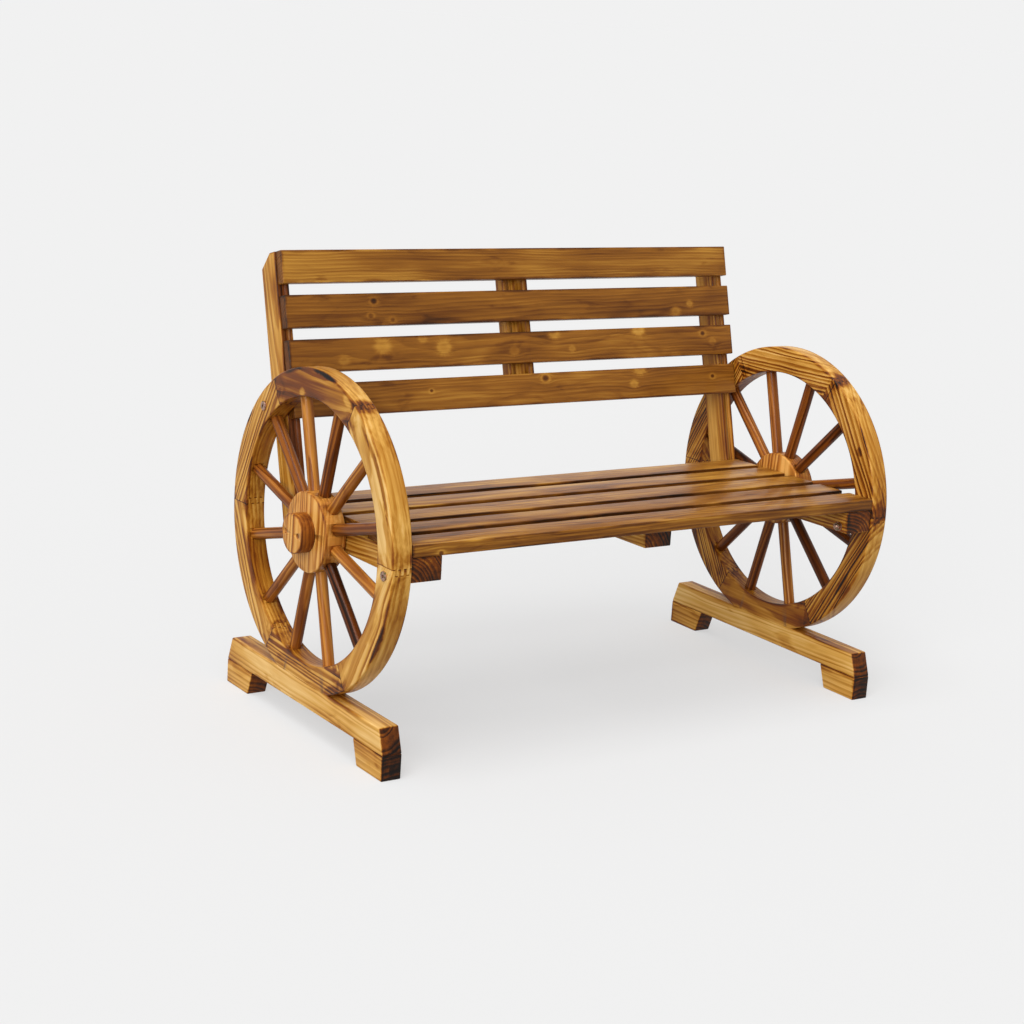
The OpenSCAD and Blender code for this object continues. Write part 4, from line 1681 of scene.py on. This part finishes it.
# Both wheels' felloes and spoke tones, from the rear over the top to the front and the bottom
FELLOES = {
    "left": (FelloeLook(-0.02, 0.7, 60, 60, 1.0, 0.0), FelloeLook(0.0, 0.2, 14, 80, 1.2, 0.34, -0.6),
             FelloeLook(0.0, 0.5, 20, 84, 1.2, -0.14), FelloeLook(-0.02, 0.4, 26, 80, 1.3, -0.06),
             FelloeLook(-0.02, 0.7, 60, 50, 1.0, 0.02), FelloeLook(0.0, 0.6, 40, 70, 1.2, -0.06)),
    "right": (FelloeLook(0.04, 0.5, 90, 30, 1.0, 0.04), FelloeLook(0.0, 0.4, 80, 40, 1.1, 0.0),
              FelloeLook(0.0, 0.7, 60, 60, 1.1, 0.06), FelloeLook(0.0, 0.5, 90, 40, 1.0, 0.15),
              FelloeLook(0.02, 0.6, 14, 80, 1.3, 0.16, 0.4),
              FelloeLook(0.04, 0.5, 90, 30, 1.0, 0.08))}
SPOKE_TONES = {
    "left": (0.08, 0.02, -0.06, 0.06, -0.06, 0.06, -0.1, 0.22, -0.1, -0.04, 0.04, 0.0),
    "right": (0.2, 0.0, 0.0, 0.12, 0.22, 0.06, 0.26, 0.3, -0.06, 0.14, 0.12, 0.1)}
RAIL_TONES = {"left": -0.11, "right": -0.1}

# Char marks, pale strokes and soot on both rims. A negative last value is on the inner face, and a
# zero is soot on the turned outside, across a joint.
CHARS = {
    "left": (
        Char(97, 270, 50, 8, 0.6), Char(73, 270, 40, 9, 0.4), Char(34, 270, 28, 10, 0.55),
        Char(119, 229, 22, 12, 0.2), Char(147, 258, 110, 8, 0.4), Char(207, 267, 64, 7, 0.4),
        Char(205, 246, 40, 9, 0.16), Char(246, 262, 44, 12, 0.28), Char(242, 228, 11, 8, 0.3),
        Char(80, 229, 13, 9, -0.24), Char(148, 266, 100, 4, -0.26), Char(114, 260, 20, 10, -0.2),
        Char(120, 269, 22, 30, 0.38, 0.0), Char(176, 269, 26, 30, 0.1, 0.0)),
    "right": (
        Char(121, 270, 24, 28, 0.32, 0.0), Char(177, 270, 28, 28, 0.24, 0.0),
        Char(152, 249, 11, 8, 0.26, -18.0), Char(212, 250, 32, 9, 0.2, -18.0),
        Char(150, 266, 70, 6, 0.16, -18.0), Char(330, 262, 60, 16, 0.24, -18.0))}


def main() -> None:
    """Builds the bench's sub-assemblies in order, then the studio, and logs each piece's face count.
    """
    logging.basicConfig(level=logging.INFO, format="%(message)s")
    # Torched, brushed fir under thin varnish: honey gold with dark flame marks and ridged grain
    frame_fir = TorchedFir("torched_fir_frame")
    runner_fir = replace(frame_fir, name="torched_fir_runner", tone=0.28, ring_gap=7.0,
                         line_burn=0.32, cloud_burn=0.7)
    rim_fir = replace(frame_fir, outline=Outline.RING, tone=0.22, cloud_burn=0.55,
                      streak_burn=0.45, joints=True, wander=30.0)
    # Turned end grain, redder and paler, with close rings
    hub_fir = TorchedFir("torched_fir_hub", RED_BROWN, Outline.RING, tone=0.04, ring_gap=6.0,
                         line_burn=0.3, cloud_burn=0.6)
    # Turned rods with more varnish, dark red-brown and glossy
    spoke_fir = TorchedFir("torched_fir_spoke", RED_BROWN, Outline.ROD, tone=0.36,
                           line_burn=0.26, shine=0.06, coat=0.2, roughness=0.36)
    # Planed slats: olive brown with fine fibres, and smoother on the seat than on the back
    seat_fir = TorchedFir("torched_fir_seat", OLIVE, tone=0.27, line_burn=0.17, fibre_burn=0.4,
                          cloud_burn=0.8, streak_burn=0.25, shine=0.08, coat=0.12,
                          roughness=0.36)
    back_fir = TorchedFir("torched_fir_back", OLIVE, tone=0.37, ring_gap=6.0, line_burn=0.11,
                          streak_burn=0.18, fibre_burn=0.24, cloud_burn=0.6)
    # Plated bolts with a pinkish, oily sheen, and plain grey screws
    plated = PlatedSteel("yellow_zinc_plate", "#b58f80", "#5c5a36", 0.34).make()
    bare = PlatedSteel("screw_steel", "#8f8c86", "#5b544c", 0.38).make()

    runner_wood, hub_wood, spoke_wood, frame_wood, seat_wood, front_wood = [
        fir.make() for fir in (
            runner_fir, hub_fir, spoke_fir, frame_fir, seat_fir,
            replace(seat_fir, name="torched_fir_seat_front", knots=SEAT_KNOTS))]
    slat_woods = [replace(back_fir, name=f"torched_fir_back_{i}", knots=knots).make()
                  for i, knots in enumerate(BACK_KNOTS, 1)]
    for side, line_burn in (("left", 0.42), ("right", 0.48)):
        Runner(side, RAIL_TONES[side]).build(runner_wood)
        rim_wood = replace(rim_fir, name=f"torched_fir_{side}_rim", line_burn=line_burn,
                           chars=CHARS[side]).make()
        wheel = Wheel(side)
        wheel.build_felloes(rim_wood, FELLOES[side])
        wheel.build_hub(hub_wood)
        wheel.build_spokes(spoke_wood, SPOKE_TONES[side])
    Seat().build([front_wood] + [seat_wood] * 4, frame_wood)
    Back().build(slat_woods, frame_wood)
    Fasteners().build(plated, bare)
    Studio().build()


if __name__ == "__main__":
    main()
